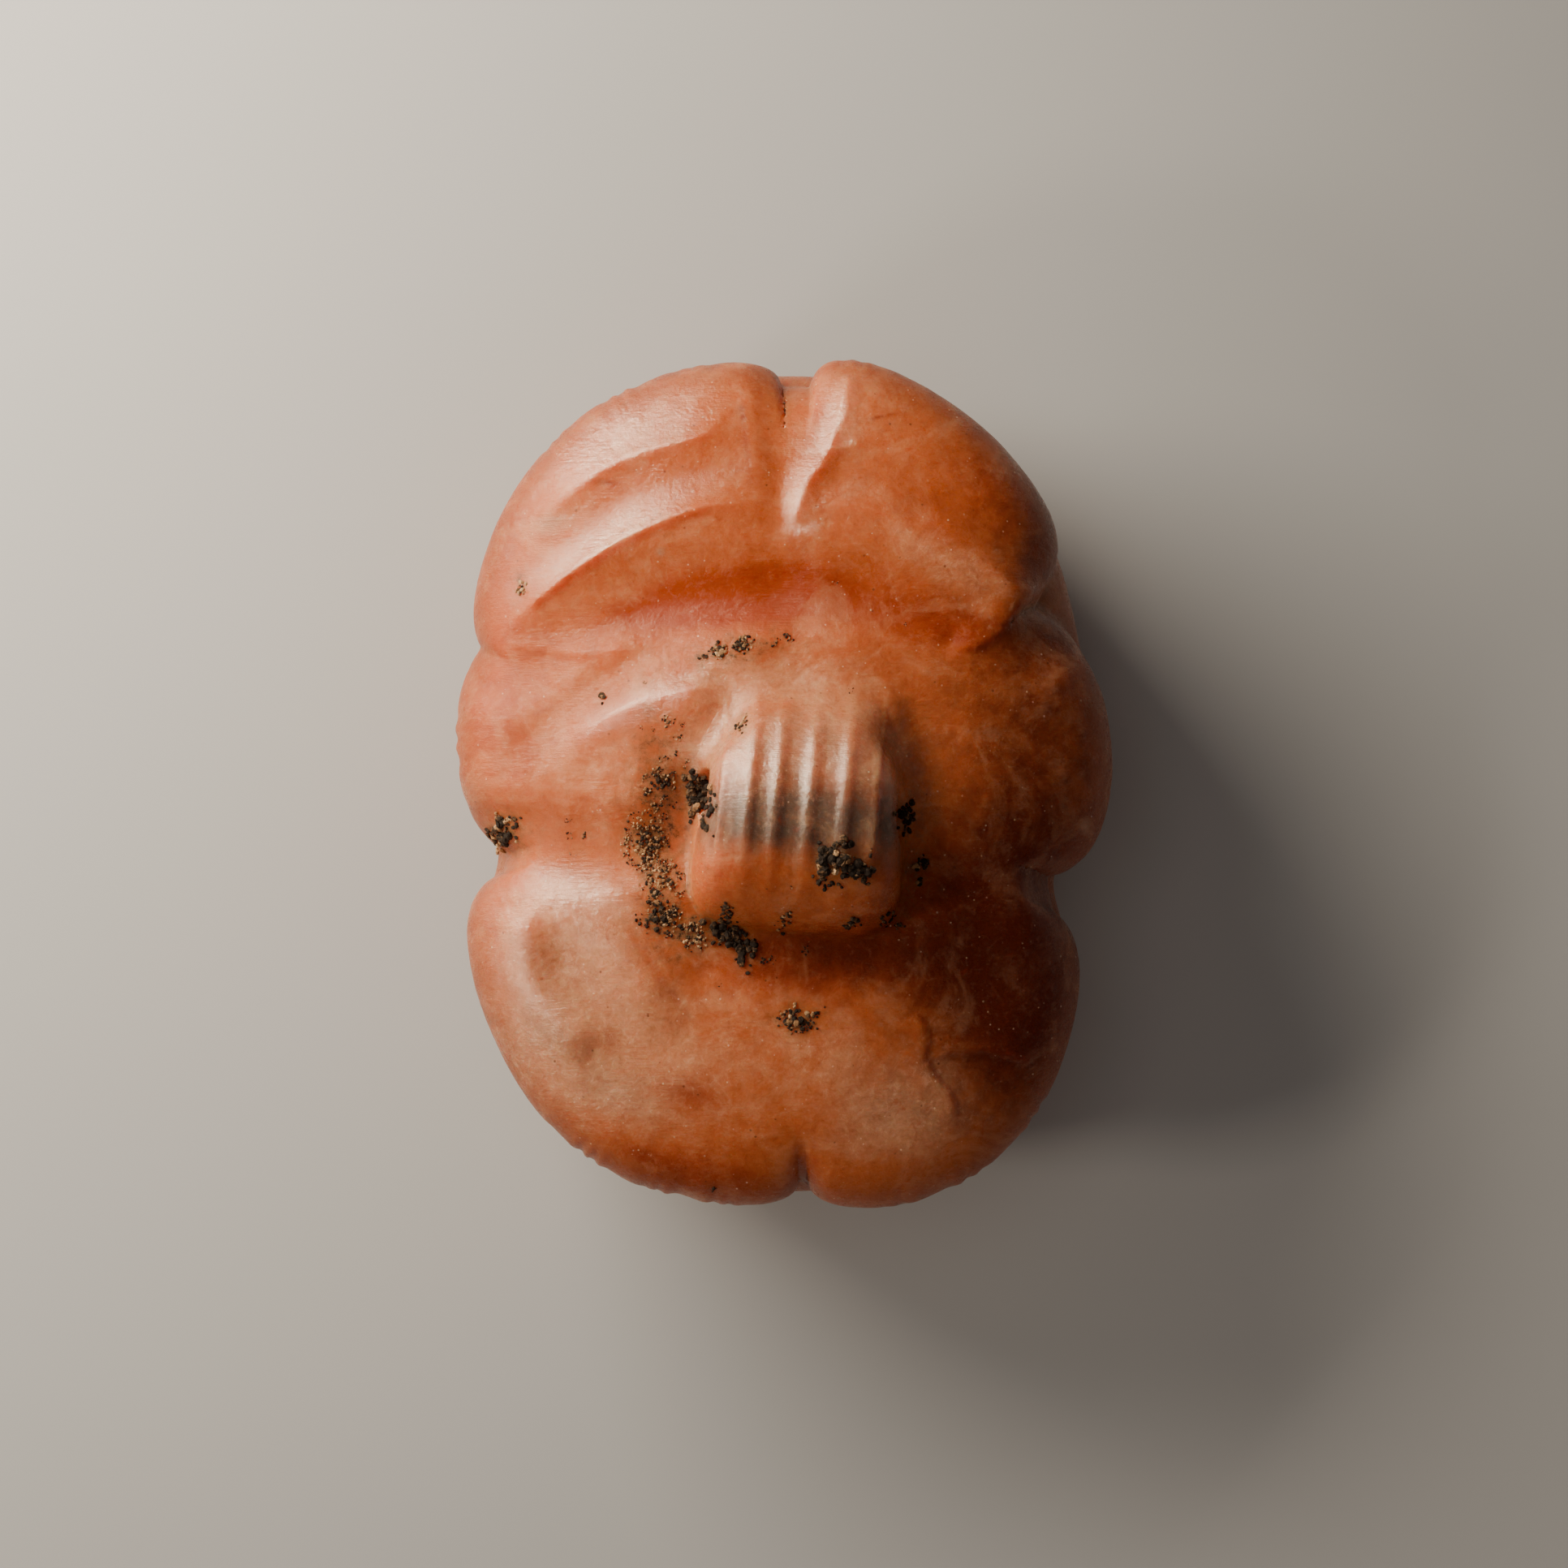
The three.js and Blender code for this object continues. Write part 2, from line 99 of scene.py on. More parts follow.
# How the flakes' spacing and size vary along the rim, and how soon they set in at its ends
FLAKE_DRIFT = 0.35
FLAKE_DRIFT_RATE = 2.1
FLAKE_MEAN_SIZE = 0.65
FLAKE_SIZE_SWING = 0.35
FLAKE_SIZE_RATE = 1.3
FLAKES_FADE = 8

# The loop on the belly, in its own frame with the bore along x
LOOP_X = 0.72
LOOP_Y = -1.2
LOOP_TURN = math.radians(-5)
LOOP_LENGTH = 7.95
LOOP_WIDTH = 9.4
LOOP_SEAT = 1.1
LOOP_END_SQUARENESS = 5
LOOP_ARCH_ROUNDNESS = 2.2
LOOP_TAPER = 0.11
LOOP_HEAD_TAPER = 0.14
LOOP_HEAD_STARTS = 0.3  # as a share of the half width, from the middle
RIB_CENTRES = (-3.32, -2.12, -1.05, 0.28, 1.7, 3.0)
RIB_DEPTH = 0.13
RIB_SHARPNESS = 4
RIBS_SQUARENESS = 4
RIBS_REACH_TAIL = 2.4
RIBS_FADE = 1.6
RIBS_LEFT_AT_TAIL = 0.25
BORE_RADIUS = 1.1
BORE_RISE = 1.0
BORE_TO_HEAD = 0.3
DRILL_OVERRUN = 2.35
DRILL_NARROWS = 0.35
FILLET_TO_HEAD = 1.7
FILLET_TO_TAIL = 0.25
MOUTH_ROUNDING = 0.2

# Relief on the belly. Lines are in shares of the half width and half length, heights and reaches in
# millimetres. Left and right are the sides of a line as one walks along it.
RELIEF_START = 2
CREST_SOFTNESS = 0.07
PAIRED_RELIEF = [
    dict(name="front shin", height=0.34, left=3.0, right=3.4, crest=True, fade=0.3, mirrored=0.35,
         line=[(-0.79, 0.54), (-0.66, 0.686), (-0.46, 0.767), (-0.257, 0.815), (-0.12, 0.845)]),
    dict(name="channel of the front leg", height=-0.1, left=1.3, right=1.3, fade=0.3, mirrored=0.5,
         line=[(-0.74, 0.53), (-0.56, 0.65), (-0.33, 0.735), (-0.08, 0.76)]),
    dict(name="front thigh", height=0.42, left=1.5, right=3.4, crest=True, fade=0.2, mirrored=0.5,
         line=[(-0.9, 0.3), (-0.783, 0.409), (-0.659, 0.486), (-0.51, 0.562), (-0.336, 0.623),
               (-0.187, 0.654), (0, 0.61)]),
    dict(name="recess behind the front legs", height=-0.32, left=2.6, right=1.7, fade=0.2, mirrored=0.9,
         line=[(-0.86, 0.24), (-0.62, 0.365), (-0.32, 0.43), (0.13, 0.445)]),
    dict(name="upper edge of the middle leg", height=0.45, left=2.2, right=5.2, fade=0.2,
         mirrored=0.3,
         line=[(-0.84, -0.14), (-0.66, 0.03), (-0.5, 0.13), (-0.34, 0.21), (-0.17, 0.27),
               (0.05, 0.29)]),
    dict(name="lower edge of the middle leg", height=0.13, left=0.8, right=2.4, crest=True, fade=0.3,
         mirrored=0.2,
         line=[(-0.7, 0.06), (-0.6, 0.13), (-0.43, 0.19), (-0.27, 0.22), (-0.16, 0.222)]),
    dict(name="waist valley", height=-0.35, left=2.4, right=2.0, fade=0.3, mirrored=0.35,
         line=[(-1.05, -0.19), (-0.7, -0.16), (-0.4, -0.15), (-0.15, -0.15)]),
    dict(name="hind thigh", height=0.34, left=1.9, right=3.4, fade=0.25, mirrored=0.15,
         line=[(-0.87, -0.35), (-0.77, -0.306), (-0.627, -0.312), (-0.512, -0.382), (-0.4, -0.48),
               (-0.3, -0.6)]),
    dict(name="hollow of the hind leg", height=-0.1, left=1.3, right=1.3, fade=0.35, mirrored=0.1,
         line=[(-0.74, -0.35), (-0.64, -0.44), (-0.5, -0.55), (-0.36, -0.66)]),
    dict(name="hind shin", height=0.34, left=1.9, right=2.6, fade=0.25, mirrored=0.15,
         line=[(-0.835, -0.28), (-0.825, -0.35), (-0.795, -0.445), (-0.735, -0.525), (-0.64, -0.59),
               (-0.5, -0.67)]),
]
SINGLE_RELIEF = [
    dict(name="groove between the front legs", height=-0.32, left=4.0, right=1.5, fade=0.25,
         line=[(-0.01, 1.25), (-0.01, 0.95), (0.01, 0.8), (0.03, 0.58)]),
    dict(name="inner edge of the right front leg", height=0.22, left=1.2, right=2.4, crest=True,
         line=[(0.035, 0.6), (0.08, 0.7), (0.135, 0.78), (0.185, 0.853), (0.215, 0.96)]),
    dict(name="step at the left middle leg", height=0.12, left=1.8, right=1.4, crest=True,
         line=[(-0.93, 0.31), (-0.81, 0.323), (-0.71, 0.311), (-0.547, 0.306), (-0.42, 0.335)]),
    dict(name="step at the right middle leg", height=0.12, left=1.2, right=2.2, crest=True,
         line=[(0.76, 0.47), (0.745, 0.44), (0.68, 0.375), (0.594, 0.327), (0.5, 0.33)]),
    dict(name="cleft between the hind legs", height=-0.16, left=1.1, right=0.9, fade=0.4,
         line=[(0.07, -1.2), (0.07, -1.05), (0.075, -0.95), (0.09, -0.82)]),
]

# Finer carving and damage, which the CAD model leaves out
FINE_RELIEF = [
    dict(name="mound at the left of the loop", height=0.4, left=2.4, right=3.2, fade=0.3,
         line=[(-0.2, 0.24), (-0.337, 0.126), (-0.38, -0.065), (-0.36, -0.256), (-0.2, -0.42)]),
    dict(name="flat of the left middle leg", height=0.5, left=3.2, right=3.2, fade=0.3,
         line=[(-0.93, -0.08), (-0.92, 0.08), (-0.88, 0.24)]),
    dict(name="fill at the corner of the loop", height=0.4, left=1.7, right=1.9, fade=0.35,
         line=[(-0.33, 0.24), (-0.26, 0.17), (-0.24, 0.08), (-0.27, -0.03)]),
    dict(name="edge of the front shin", height=0.05, left=0.6, right=0.5, crest=True, fade=0.2,
         line=[(-0.73, 0.62), (-0.51, 0.753), (-0.257, 0.815), (-0.15, 0.89)]),
    dict(name="edge of the front thigh", height=0.1, left=0.7, right=0.4, crest=True, fade=0.2,
         line=[(-0.796, 0.4), (-0.659, 0.486), (-0.51, 0.562), (-0.336, 0.623), (-0.2, 0.652)]),
    dict(name="flake at the left middle leg", height=0.08, left=1.6, right=0.16, crest=True, fade=0.4,
         line=[(-0.863, 0.337), (-0.796, 0.321), (-0.709, 0.312), (-0.635, 0.302), (-0.548, 0.31),
               (-0.473, 0.317)]),
    dict(name="flake at the right middle leg", height=0.1, left=0.18, right=1.5, crest=True, fade=0.25,
         line=[(0.78, 0.5), (0.749, 0.442), (0.682, 0.375), (0.595, 0.327), (0.5, 0.315)]),
    dict(name="outer edge of the right front thigh", height=0.14, left=1.3, right=2.2, crest=True,
         fade=0.3, line=[(0.4, 0.65), (0.496, 0.608), (0.635, 0.528), (0.752, 0.444), (0.8, 0.4)]),
    dict(name="right wall of the groove", height=0.22, left=0.8, right=1.2, crest=True, fade=0.25,
         line=[(0.036, 0.6), (0.05, 0.68), (0.083, 0.727), (0.165, 0.763)]),
    dict(name="facet beside the groove", height=0.16, left=0.45, right=0.75, crest=True, fade=0.15,
         line=[(0.135, 0.77), (0.15, 0.82), (0.19, 0.929), (0.2, 0.96)]),
    dict(name="lip under the facet", height=0.08, left=0.15, right=0.5, crest=True, fade=0.3,
         line=[(0.13, 0.785), (0.2, 0.79), (0.24, 0.81)]),
    dict(name="inner fold of the middle leg", height=0.06, left=0.4, right=1.4, crest=True, fade=0.3,
         line=[(-0.66, 0.059), (-0.535, 0.155), (-0.411, 0.206), (-0.237, 0.231), (-0.19, 0.215)]),
    dict(name="flare at the right of the loop", height=0.1, left=0.8, right=0.5, crest=True, fade=0.25,
         line=[(0.297, 0.26), (0.349, 0.145), (0.376, 0.084), (0.385, 0.02)]),
    dict(name="edge of the hind thigh", height=0.04, left=0.7, right=1.4, crest=True, fade=0.2,
         line=[(-0.809, -0.294), (-0.712, -0.317), (-0.627, -0.312), (-0.513, -0.382), (-0.44, -0.43)]),
    dict(name="outer edge of the hind shin", height=0.22, left=1.2, right=1.0, fade=0.2,
         line=[(-0.835, -0.28), (-0.825, -0.34), (-0.797, -0.445), (-0.735, -0.525), (-0.64, -0.59),
               (-0.57, -0.63)]),
    dict(name="long tool mark", height=-0.07, left=0.3, right=0.3, fade=0.4,
         line=[(-0.486, -0.314), (-0.36, -0.45), (-0.225, -0.591)]),
    dict(name="short tool mark", height=-0.05, left=0.25, right=0.25, fade=0.4,
         line=[(-0.411, -0.428), (-0.237, -0.581)]),
    dict(name="crack at the right hind leg", height=0.12, left=0.14, right=1.4, crest=True, fade=0.12,
         line=[(0.401, -0.53), (0.436, -0.591), (0.426, -0.639), (0.458, -0.686), (0.513, -0.738),
               (0.516, -0.792)]),
    dict(name="flake edge over the right hind leg", height=0.14, left=1.6, right=0.18, crest=True,
         fade=0.2, line=[(0.43, -0.64), (0.583, -0.62), (0.694, -0.639), (0.76, -0.66)]),
]

# Around the loop's foot the belly is hollowed on the tail side and swells on the head side
MOAT_DEPTH = 0.36
MOAT_WIDTH = 1.6
SWELL_HEIGHT = 0.5
SWELL_REACH = 2.2

# Lines cut into the back
BACK_LINE_DEPTH = 0.45
BACK_LINE_REACH = 1.4
WORN_RADIUS = 4.6
WORN_EDGE = 1.6
BACK_LINES = [
    [(0, 0.24), (0, -0.4), (0, -1.1)],
    [(-1.1, 0.22), (-0.5, 0.26), (0, 0.24), (0.5, 0.26), (1.1, 0.22)],
    [(-0.85, 0.85), (-0.42, 0.66), (0, 0.62), (0.42, 0.66), (0.85, 0.85)],
    [(-0.35, 1.1), (-0.22, 0.84), (0, 0.8), (0.22, 0.84), (0.35, 1.1)],
]

# Fineness of the mesh and of the relief map
VOXEL = 0.282
FINE_ABOVE = 7.9
MAP_STEP = 0.05
MAP_MARGIN = 1.5
LINE_STEPS = 24
SLOPE_STEP = 0.02
PROJECTIONS = 5
LONGEST_MOVE = 0.3
TINY = 1e-6

# Unevenness of the surface: size of a swell and its height
SWELLS = [(2.6, 0.05), (0.9, 0.014), (0.35, 0.007)]


def smooth(t):
    t = np.clip(t, 0, 1)
    return t * t * (3 - 2 * t)


def mix(a, b, t):
    return a + (b - a) * t


def turn_between(a, b):
    return (b - a + 180) % 360 - 180


def oval_radius(angle, half_width, half_length, squareness):
    across = np.abs(np.cos(angle) / half_width) ** squareness
    along = np.abs(np.sin(angle) / half_length) ** squareness
    return (across + along) ** (-1 / squareness)


# The outline's radii, worked out once for every tenth of a degree
DEGREES = np.arange(0, 360.05, 0.1)


def back_radii():
    radii = oval_radius(np.radians(DEGREES), BACK_WIDTH / 2, BACK_LENGTH / 2, BACK_SQUARENESS)
    for at, depth, width in WAISTS:
        radii = radii - depth * np.exp(-((turn_between(at, DEGREES) / width) ** 2))
    return radii


def leg_radii():
    at, depth, width = SIDE_GAP
    gap = depth * np.exp(-((turn_between(at, DEGREES) / width) ** 2))
    core = (CORE_SHARE - gap) * back_radii()
    oval = oval_radius(np.radians(DEGREES), WIDTH / 2, LENGTH / 2, LEG_SQUARENESS)
    radii = core
    for start, end, (at_start, at_middle, at_end) in LOBES:
        half = (end - start) / 2
        share = turn_between(start + half, DEGREES) / half
        bend = (at_start + at_end) / 2 - at_middle
        reach = oval * (at_middle + (at_end - at_start) / 2 * share + bend * share**2)
        window = np.sqrt(np.clip(1 - np.abs(share) ** LOBE_SHOULDER, 0, 1))
        lobe = core + (reach - core) * window
        radii = np.where(np.abs(share) < 1, np.maximum(radii, lobe), radii)
    return radii


def rim_flakes():
    """How deep the flakes bite into the rim, going round."""
    depths = np.zeros_like(DEGREES)
    for start, end, count, depth in RIM_FLAKES:
        share = (DEGREES - start) / (end - start)
        inside = (share > 0) & (share < 1)
        along = share * count
        uneven = along + FLAKE_DRIFT * np.sin(along * FLAKE_DRIFT_RATE + start)
        size = FLAKE_MEAN_SIZE + FLAKE_SIZE_SWING * np.sin(along * FLAKE_SIZE_RATE + end)
        bite = np.sin(np.pi * uneven) ** 2 * size
        faded = smooth(FLAKES_FADE * share) * smooth(FLAKES_FADE * (1 - share))
        depths += np.where(inside, depth * bite * faded, 0)
    return depths


def softened(radii):
    """The radii averaged over the angles nearby, going round."""
    turn = turn_between(0, DEGREES[:-1])
    weights = np.exp(-((turn / LOBE_SOFTNESS) ** 2))
    spectrum = np.fft.rfft(radii[:-1]) * np.fft.rfft(weights / weights.sum())
    soft = np.fft.irfft(spectrum, len(weights))
    return np.append(soft, soft[0])


BACK_RADII = back_radii()
LEG_RADII = leg_radii()
FLAKE_DEPTHS = rim_flakes()
SOFT_RADII = softened(LEG_RADII)
OUTLINE = np.maximum(BACK_RADII, LEG_RADII)


def around(radii, angle):
    return np.interp(np.degrees(angle) % 360, DEGREES, radii)


# The CAD model's origin is under the middle of the outline's box
def outline_middle():
    x = OUTLINE * np.cos(np.radians(DEGREES))
    y = OUTLINE * np.sin(np.radians(DEGREES))
    return np.array([(x.min() + x.max()) / 2, (y.min() + y.max()) / 2, 0])


def plan_line(points):
    """A smooth line through points in shares of the half width and half length."""
    ends = [points[0], *points, points[-1]]
    p = np.array(ends) * (WIDTH / 2, LENGTH / 2)
    at = np.linspace(0, len(points) - 1, LINE_STEPS + 1)
    i = np.minimum(at.astype(int), len(points) - 2)
    t = (at - i)[:, None]
    before, start, end, after = p[i], p[i + 1], p[i + 2], p[i + 3]
    leave, arrive = (end - before) / 2, (after - start) / 2
    return (
        (2 * start - 2 * end + leave + arrive) * t**3
        + (3 * end - 3 * start - 2 * leave - arrive) * t**2
        + leave * t
        + start
    )


def nearest(path, x, y):
    """Distance from a line, whether a point is left of it, and how far along it is."""
    distance = np.full(x.shape, np.inf)
    left = np.zeros(x.shape, bool)
    along = np.zeros(x.shape)
    for i in range(len(path) - 1):
        (ax, ay), (dx, dy) = path[i], path[i + 1] - path[i]
        t = np.clip(((x - ax) * dx + (y - ay) * dy) / (dx * dx + dy * dy), 0, 1)
        d = np.hypot(x - ax - t * dx, y - ay - t * dy)
        closer = d < distance
        distance = np.where(closer, d, distance)
        left = np.where(closer, dx * (y - ay) - dy * (x - ax) > 0, left)
        along = np.where(closer, (i + t) / (len(path) - 1), along)
    return distance, left, along


def mirror(feature):
    return {
        **feature,
        "line": [(-u, v) for u, v in feature["line"]],
        "height": feature["height"] * feature["mirrored"],
        "left": feature["right"],
        "right": feature["left"],
    }


def feature_height(feature, distance, left, along):
    reach = np.where(left, feature["left"], feature["right"])
    fade = feature.get("fade", 0.2)
    strength = feature["height"] * smooth(along / fade) * smooth((1 - along) / fade)
    if feature.get("crest"):
        soft = np.hypot(distance, CREST_SOFTNESS) - CREST_SOFTNESS
        return strength * np.clip(1 - soft / reach, 0, 1) ** 2
    return strength * np.clip(1 - (distance / reach) ** 2, 0, 1) ** 2


def in_loop(x, y):
    dx, dy = x - LOOP_X, y - LOOP_Y
    cos, sin = math.cos(-LOOP_TURN), math.sin(-LOOP_TURN)
    return dx * cos - dy * sin, dx * sin + dy * cos


def around_loop(x, y):
    across, along = in_loop(x, y)
    foot = np.hypot(across / LOOP_LENGTH, along / LOOP_WIDTH) * 2
    outside = (foot - 1) * (LOOP_LENGTH + LOOP_WIDTH) / 4
    hollow = MOAT_DEPTH * np.exp(-(((outside - MOAT_WIDTH / 2) / MOAT_WIDTH) ** 2))
    swell = SWELL_HEIGHT * np.exp(-((np.maximum(outside, 0) / SWELL_REACH) ** 2))
    return mix(-hollow, swell, smooth(along / LOOP_WIDTH))


class PlanMap:
    """Heights over the plan, worked out once on a grid and looked up between its points."""

    def __init__(self):
        self.x0 = -WIDTH / 2 - MAP_MARGIN
        self.y0 = -LENGTH / 2 - MAP_MARGIN
        self.columns = round((WIDTH + 2 * MAP_MARGIN) / MAP_STEP) + 1
        self.rows = round((LENGTH + 2 * MAP_MARGIN) / MAP_STEP) + 1
        across = self.x0 + MAP_STEP * np.arange(self.columns)
        along = self.y0 + MAP_STEP * np.arange(self.rows)
        self.x, self.y = np.meshgrid(across, along)
        self.heights = np.zeros(self.x.shape)

    def add(self, feature):
        path = plan_line(feature["line"])
        reach = max(feature["left"], feature["right"])
        first = (path.min(0) - reach - (self.x0, self.y0)) / MAP_STEP
        last = (path.max(0) + reach - (self.x0, self.y0)) / MAP_STEP
        columns = slice(max(0, int(first[0])), min(self.columns, int(last[0]) + 2))
        rows = slice(max(0, int(first[1])), min(self.rows, int(last[1]) + 2))
        x, y = self.x[rows, columns], self.y[rows, columns]
        self.heights[rows, columns] += feature_height(feature, *nearest(path, x, y))

    def at(self, x, y):
        column = np.clip((x - self.x0) / MAP_STEP, 0, self.columns - 1.001)
        row = np.clip((y - self.y0) / MAP_STEP, 0, self.rows - 1.001)
        i, j = row.astype(int), column.astype(int)
        t, s = row - i, column - j
        below = mix(self.heights[i, j], self.heights[i, j + 1], s)
        above = mix(self.heights[i + 1, j], self.heights[i + 1, j + 1], s)
        return mix(below, above, t)


def belly_map():
    relief = PlanMap()
    relief.heights = around_loop(relief.x, relief.y)
    for feature in PAIRED_RELIEF + [mirror(f) for f in PAIRED_RELIEF] + SINGLE_RELIEF + FINE_RELIEF:
        relief.add(feature)
    return relief


def back_map():
    cuts = PlanMap()
    for line in BACK_LINES:
        distance, _, _ = nearest(plan_line(line), cuts.x, cuts.y)
        cut = np.clip(1 - (distance / BACK_LINE_REACH) ** 2, 0, 1) ** 2
        cuts.heights = np.maximum(cuts.heights, cut)
    worn = smooth((np.hypot(cuts.x, cuts.y) - WORN_RADIUS) / WORN_EDGE)
    cuts.heights *= BACK_LINE_DEPTH * worn
    return cuts


BELLY = belly_map()
BACK = back_map()


def stone(x, y, z):
    """Below zero inside the stone without its loop."""
    angle, radius = np.arctan2(y, x), np.hypot(x, y)
    over_belly = smooth((z - LEG_RIM_HEIGHT) / RELIEF_START + 0.5)
    leg_z = z - LEG_RIM_HEIGHT - over_belly * BELLY.at(x, y)
    leg_height = np.where(leg_z > 0, BELLY_RISE, LEG_UNDERCUT)
    flakes = around(FLAKE_DEPTHS, angle) * np.exp(-(((z - LEG_RIM_HEIGHT) / RIM_FLAKE_HEIGHT) ** 2))
    over_lobe = radius / (around(LEG_RADII, angle) - flakes)
    over_dome = radius / oval_radius(angle, WIDTH / 2, LENGTH / 2, BELLY_SQUARENESS)
    over_soft = radius / around(SOFT_RADII, angle)
    share = mix(over_dome, over_soft, smooth((over_soft - RIM_STARTS) / (1 - RIM_STARTS)))
    share = mix(share, over_lobe, smooth((over_lobe - SHARP_FROM) / (1 - SHARP_FROM)))
    legs = (share**ROUNDNESS + np.abs(leg_z / leg_height) ** ROUNDNESS) ** (1 / ROUNDNESS) - 1
    back_z = z - BACK_DEPTH - np.where(z < BACK_DEPTH, BACK.at(x, y), 0)
    back_height = np.where(back_z > 0, BACK_SHOULDER, BACK_DEPTH + FLAT_SPOT_DEPTH)
    over_back = radius / around(BACK_RADII, angle)
    back = (over_back**ROUNDNESS + np.abs(back_z / back_height) ** ROUNDNESS) ** (1 / ROUNDNESS) - 1
    share = np.clip(0.5 + (back - legs) / (2 * LEG_FILLET), 0, 1)
    both = mix(back, legs, share) - LEG_FILLET * share * (1 - share)
    return np.maximum(-z / BACK_DEPTH, both)


def loop(x, y, z):
    """Below zero inside the loop."""
    across, along = in_loop(x, y)
    up = z - BELLY_HEIGHT + LOOP_SEAT
    at_crown = 1 - np.clip(np.abs(2 * along / LOOP_WIDTH), 0, 1) ** RIBS_SQUARENESS
    towards_head = smooth((along + RIBS_REACH_TAIL) / RIBS_FADE)
    at_crown = at_crown * mix(RIBS_LEFT_AT_TAIL, 1, towards_head)
    ribs = len(RIB_CENTRES)
    rib = np.interp(across, RIB_CENTRES, range(ribs), left=-0.5, right=ribs - 0.5)
    groove = RIB_DEPTH * at_crown * (1 - np.abs(np.cos(np.pi * rib)) ** RIB_SHARPNESS)
    rise = LOOP_SEAT + LOOP_RISE - groove
    reach = LOOP_WIDTH / 2 - groove
    arch = np.abs(along / reach) ** LOOP_ARCH_ROUNDNESS + np.abs(up / rise) ** LOOP_ARCH_ROUNDNESS
    arch = arch ** (1 / LOOP_ARCH_ROUNDNESS)
    share = along / (LOOP_WIDTH / 2)
    head_taper = LOOP_HEAD_TAPER * smooth(2 * (share - LOOP_HEAD_STARTS))
    half = LOOP_LENGTH / 2 * (1 - LOOP_TAPER * share - head_taper)
    ends = np.abs(across / half) ** LOOP_END_SQUARENESS
    return (ends + arch**LOOP_END_SQUARENESS) ** (1 / LOOP_END_SQUARENESS) - 1


def bore(x, y, z):
    """Below zero inside the bore."""
    across, along = in_loop(x, y)
    past_loop = np.abs(across) - LOOP_LENGTH / 2
    radius = BORE_RADIUS - DRILL_NARROWS * np.maximum(past_loop, 0)
    radial = np.hypot(along - BORE_TO_HEAD, z - BELLY_HEIGHT - BORE_RISE) - radius
    return np.maximum(radial, past_loop - DRILL_OVERRUN)


def distance_to(form, p):
    """Signed distance to a form, near its surface, and the direction away from it."""
    x, y, z = p.T
    value = form(x, y, z)
    h = SLOPE_STEP
    slope = np.stack([
        form(x + h, y, z) - form(x - h, y, z),
        form(x, y + h, z) - form(x, y - h, z),
        form(x, y, z + h) - form(x, y, z - h),
    ], 1) / (2 * h)
    steepness = np.maximum(np.linalg.norm(slope, axis=1), TINY)
    return value / steepness, slope / steepness[:, None]


def carving(p):
    """Signed distance to the whole carving, and the direction away from it."""
    stone_far, stone_out = distance_to(stone, p)
    loop_far, loop_out = distance_to(loop, p)
    bore_far, bore_out = distance_to(bore, p)
    _, along = in_loop(p[:, 0], p[:, 1])
    fillet = mix(FILLET_TO_TAIL, FILLET_TO_HEAD, smooth(0.5 + along / LOOP_WIDTH))
    share = np.clip(0.5 + (stone_far - loop_far) / (2 * fillet), 0, 1)
    far = mix(stone_far, loop_far, share) - fillet * share * (1 - share)
    out = mix(stone_out, loop_out, share[:, None])
    share = np.clip(0.5 + (-bore_far - far) / (2 * MOUTH_ROUNDING), 0, 1)
    far = mix(far, -bore_far, share) + MOUTH_ROUNDING * share * (1 - share)
    out = mix(out, -bore_out, share[:, None])
    return far, out / np.maximum(np.linalg.norm(out, axis=1), TINY)[:, None]


def unevenness(p):
    """Low swells over the whole surface."""
    heights = np.zeros(len(p))
    for size, height in SWELLS:
        heights += [height * noise.noise(Vector(point) / size) for point in p]
    return heights


def fine_mesh():
    """The CAD solid's mesh in millimetres, made even and fine, and finer still over the belly."""
    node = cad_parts["carved_stone"]
    block = bpy.data.objects.new("block", node.data.copy())
    block.data.transform(Matrix.Scale(1 / MM, 4))
    bpy.context.scene.collection.objects.link(block)
    remesh = block.modifiers.new("Even", "REMESH")
    remesh.mode = "VOXEL"
    remesh.voxel_size = VOXEL
    depsgraph = bpy.context.evaluated_depsgraph_get()
    bm = bmesh.new()
    bm.from_object(block, depsgraph)
    bpy.data.objects.remove(block)
    belly = [f for f in bm.faces if f.calc_center_median().z > FINE_ABOVE]
    edges = list({e for f in belly for e in f.edges})
    bmesh.ops.subdivide_edges(bm, edges=edges, cuts=1, use_grid_fill=True)
    return bm


def carved_stone():
    """The stone's mesh, drawn onto the fine carving, and its points in the carving's own frame."""
    bm = fine_mesh()
    middle = outline_middle()
    p = np.array([v.co for v in bm.verts]) + middle
    for _ in range(PROJECTIONS):
        far, out = carving(p)
        p -= out * np.clip(far, -LONGEST_MOVE, LONGEST_MOVE)[:, None]
    _, out = carving(p)
    p += out * unevenness(p)[:, None]
    p[:, 2] = np.maximum(p[:, 2], 0)
    p -= middle
    for v, co in zip(bm.verts, p):
        v.co = co
    bmesh.ops.triangulate(bm, faces=bm.faces)
    mesh = bpy.data.meshes.new("scarab_stone")
    bm.to_mesh(mesh)
    bm.free()
    mesh.shade_smooth()
    return mesh, p
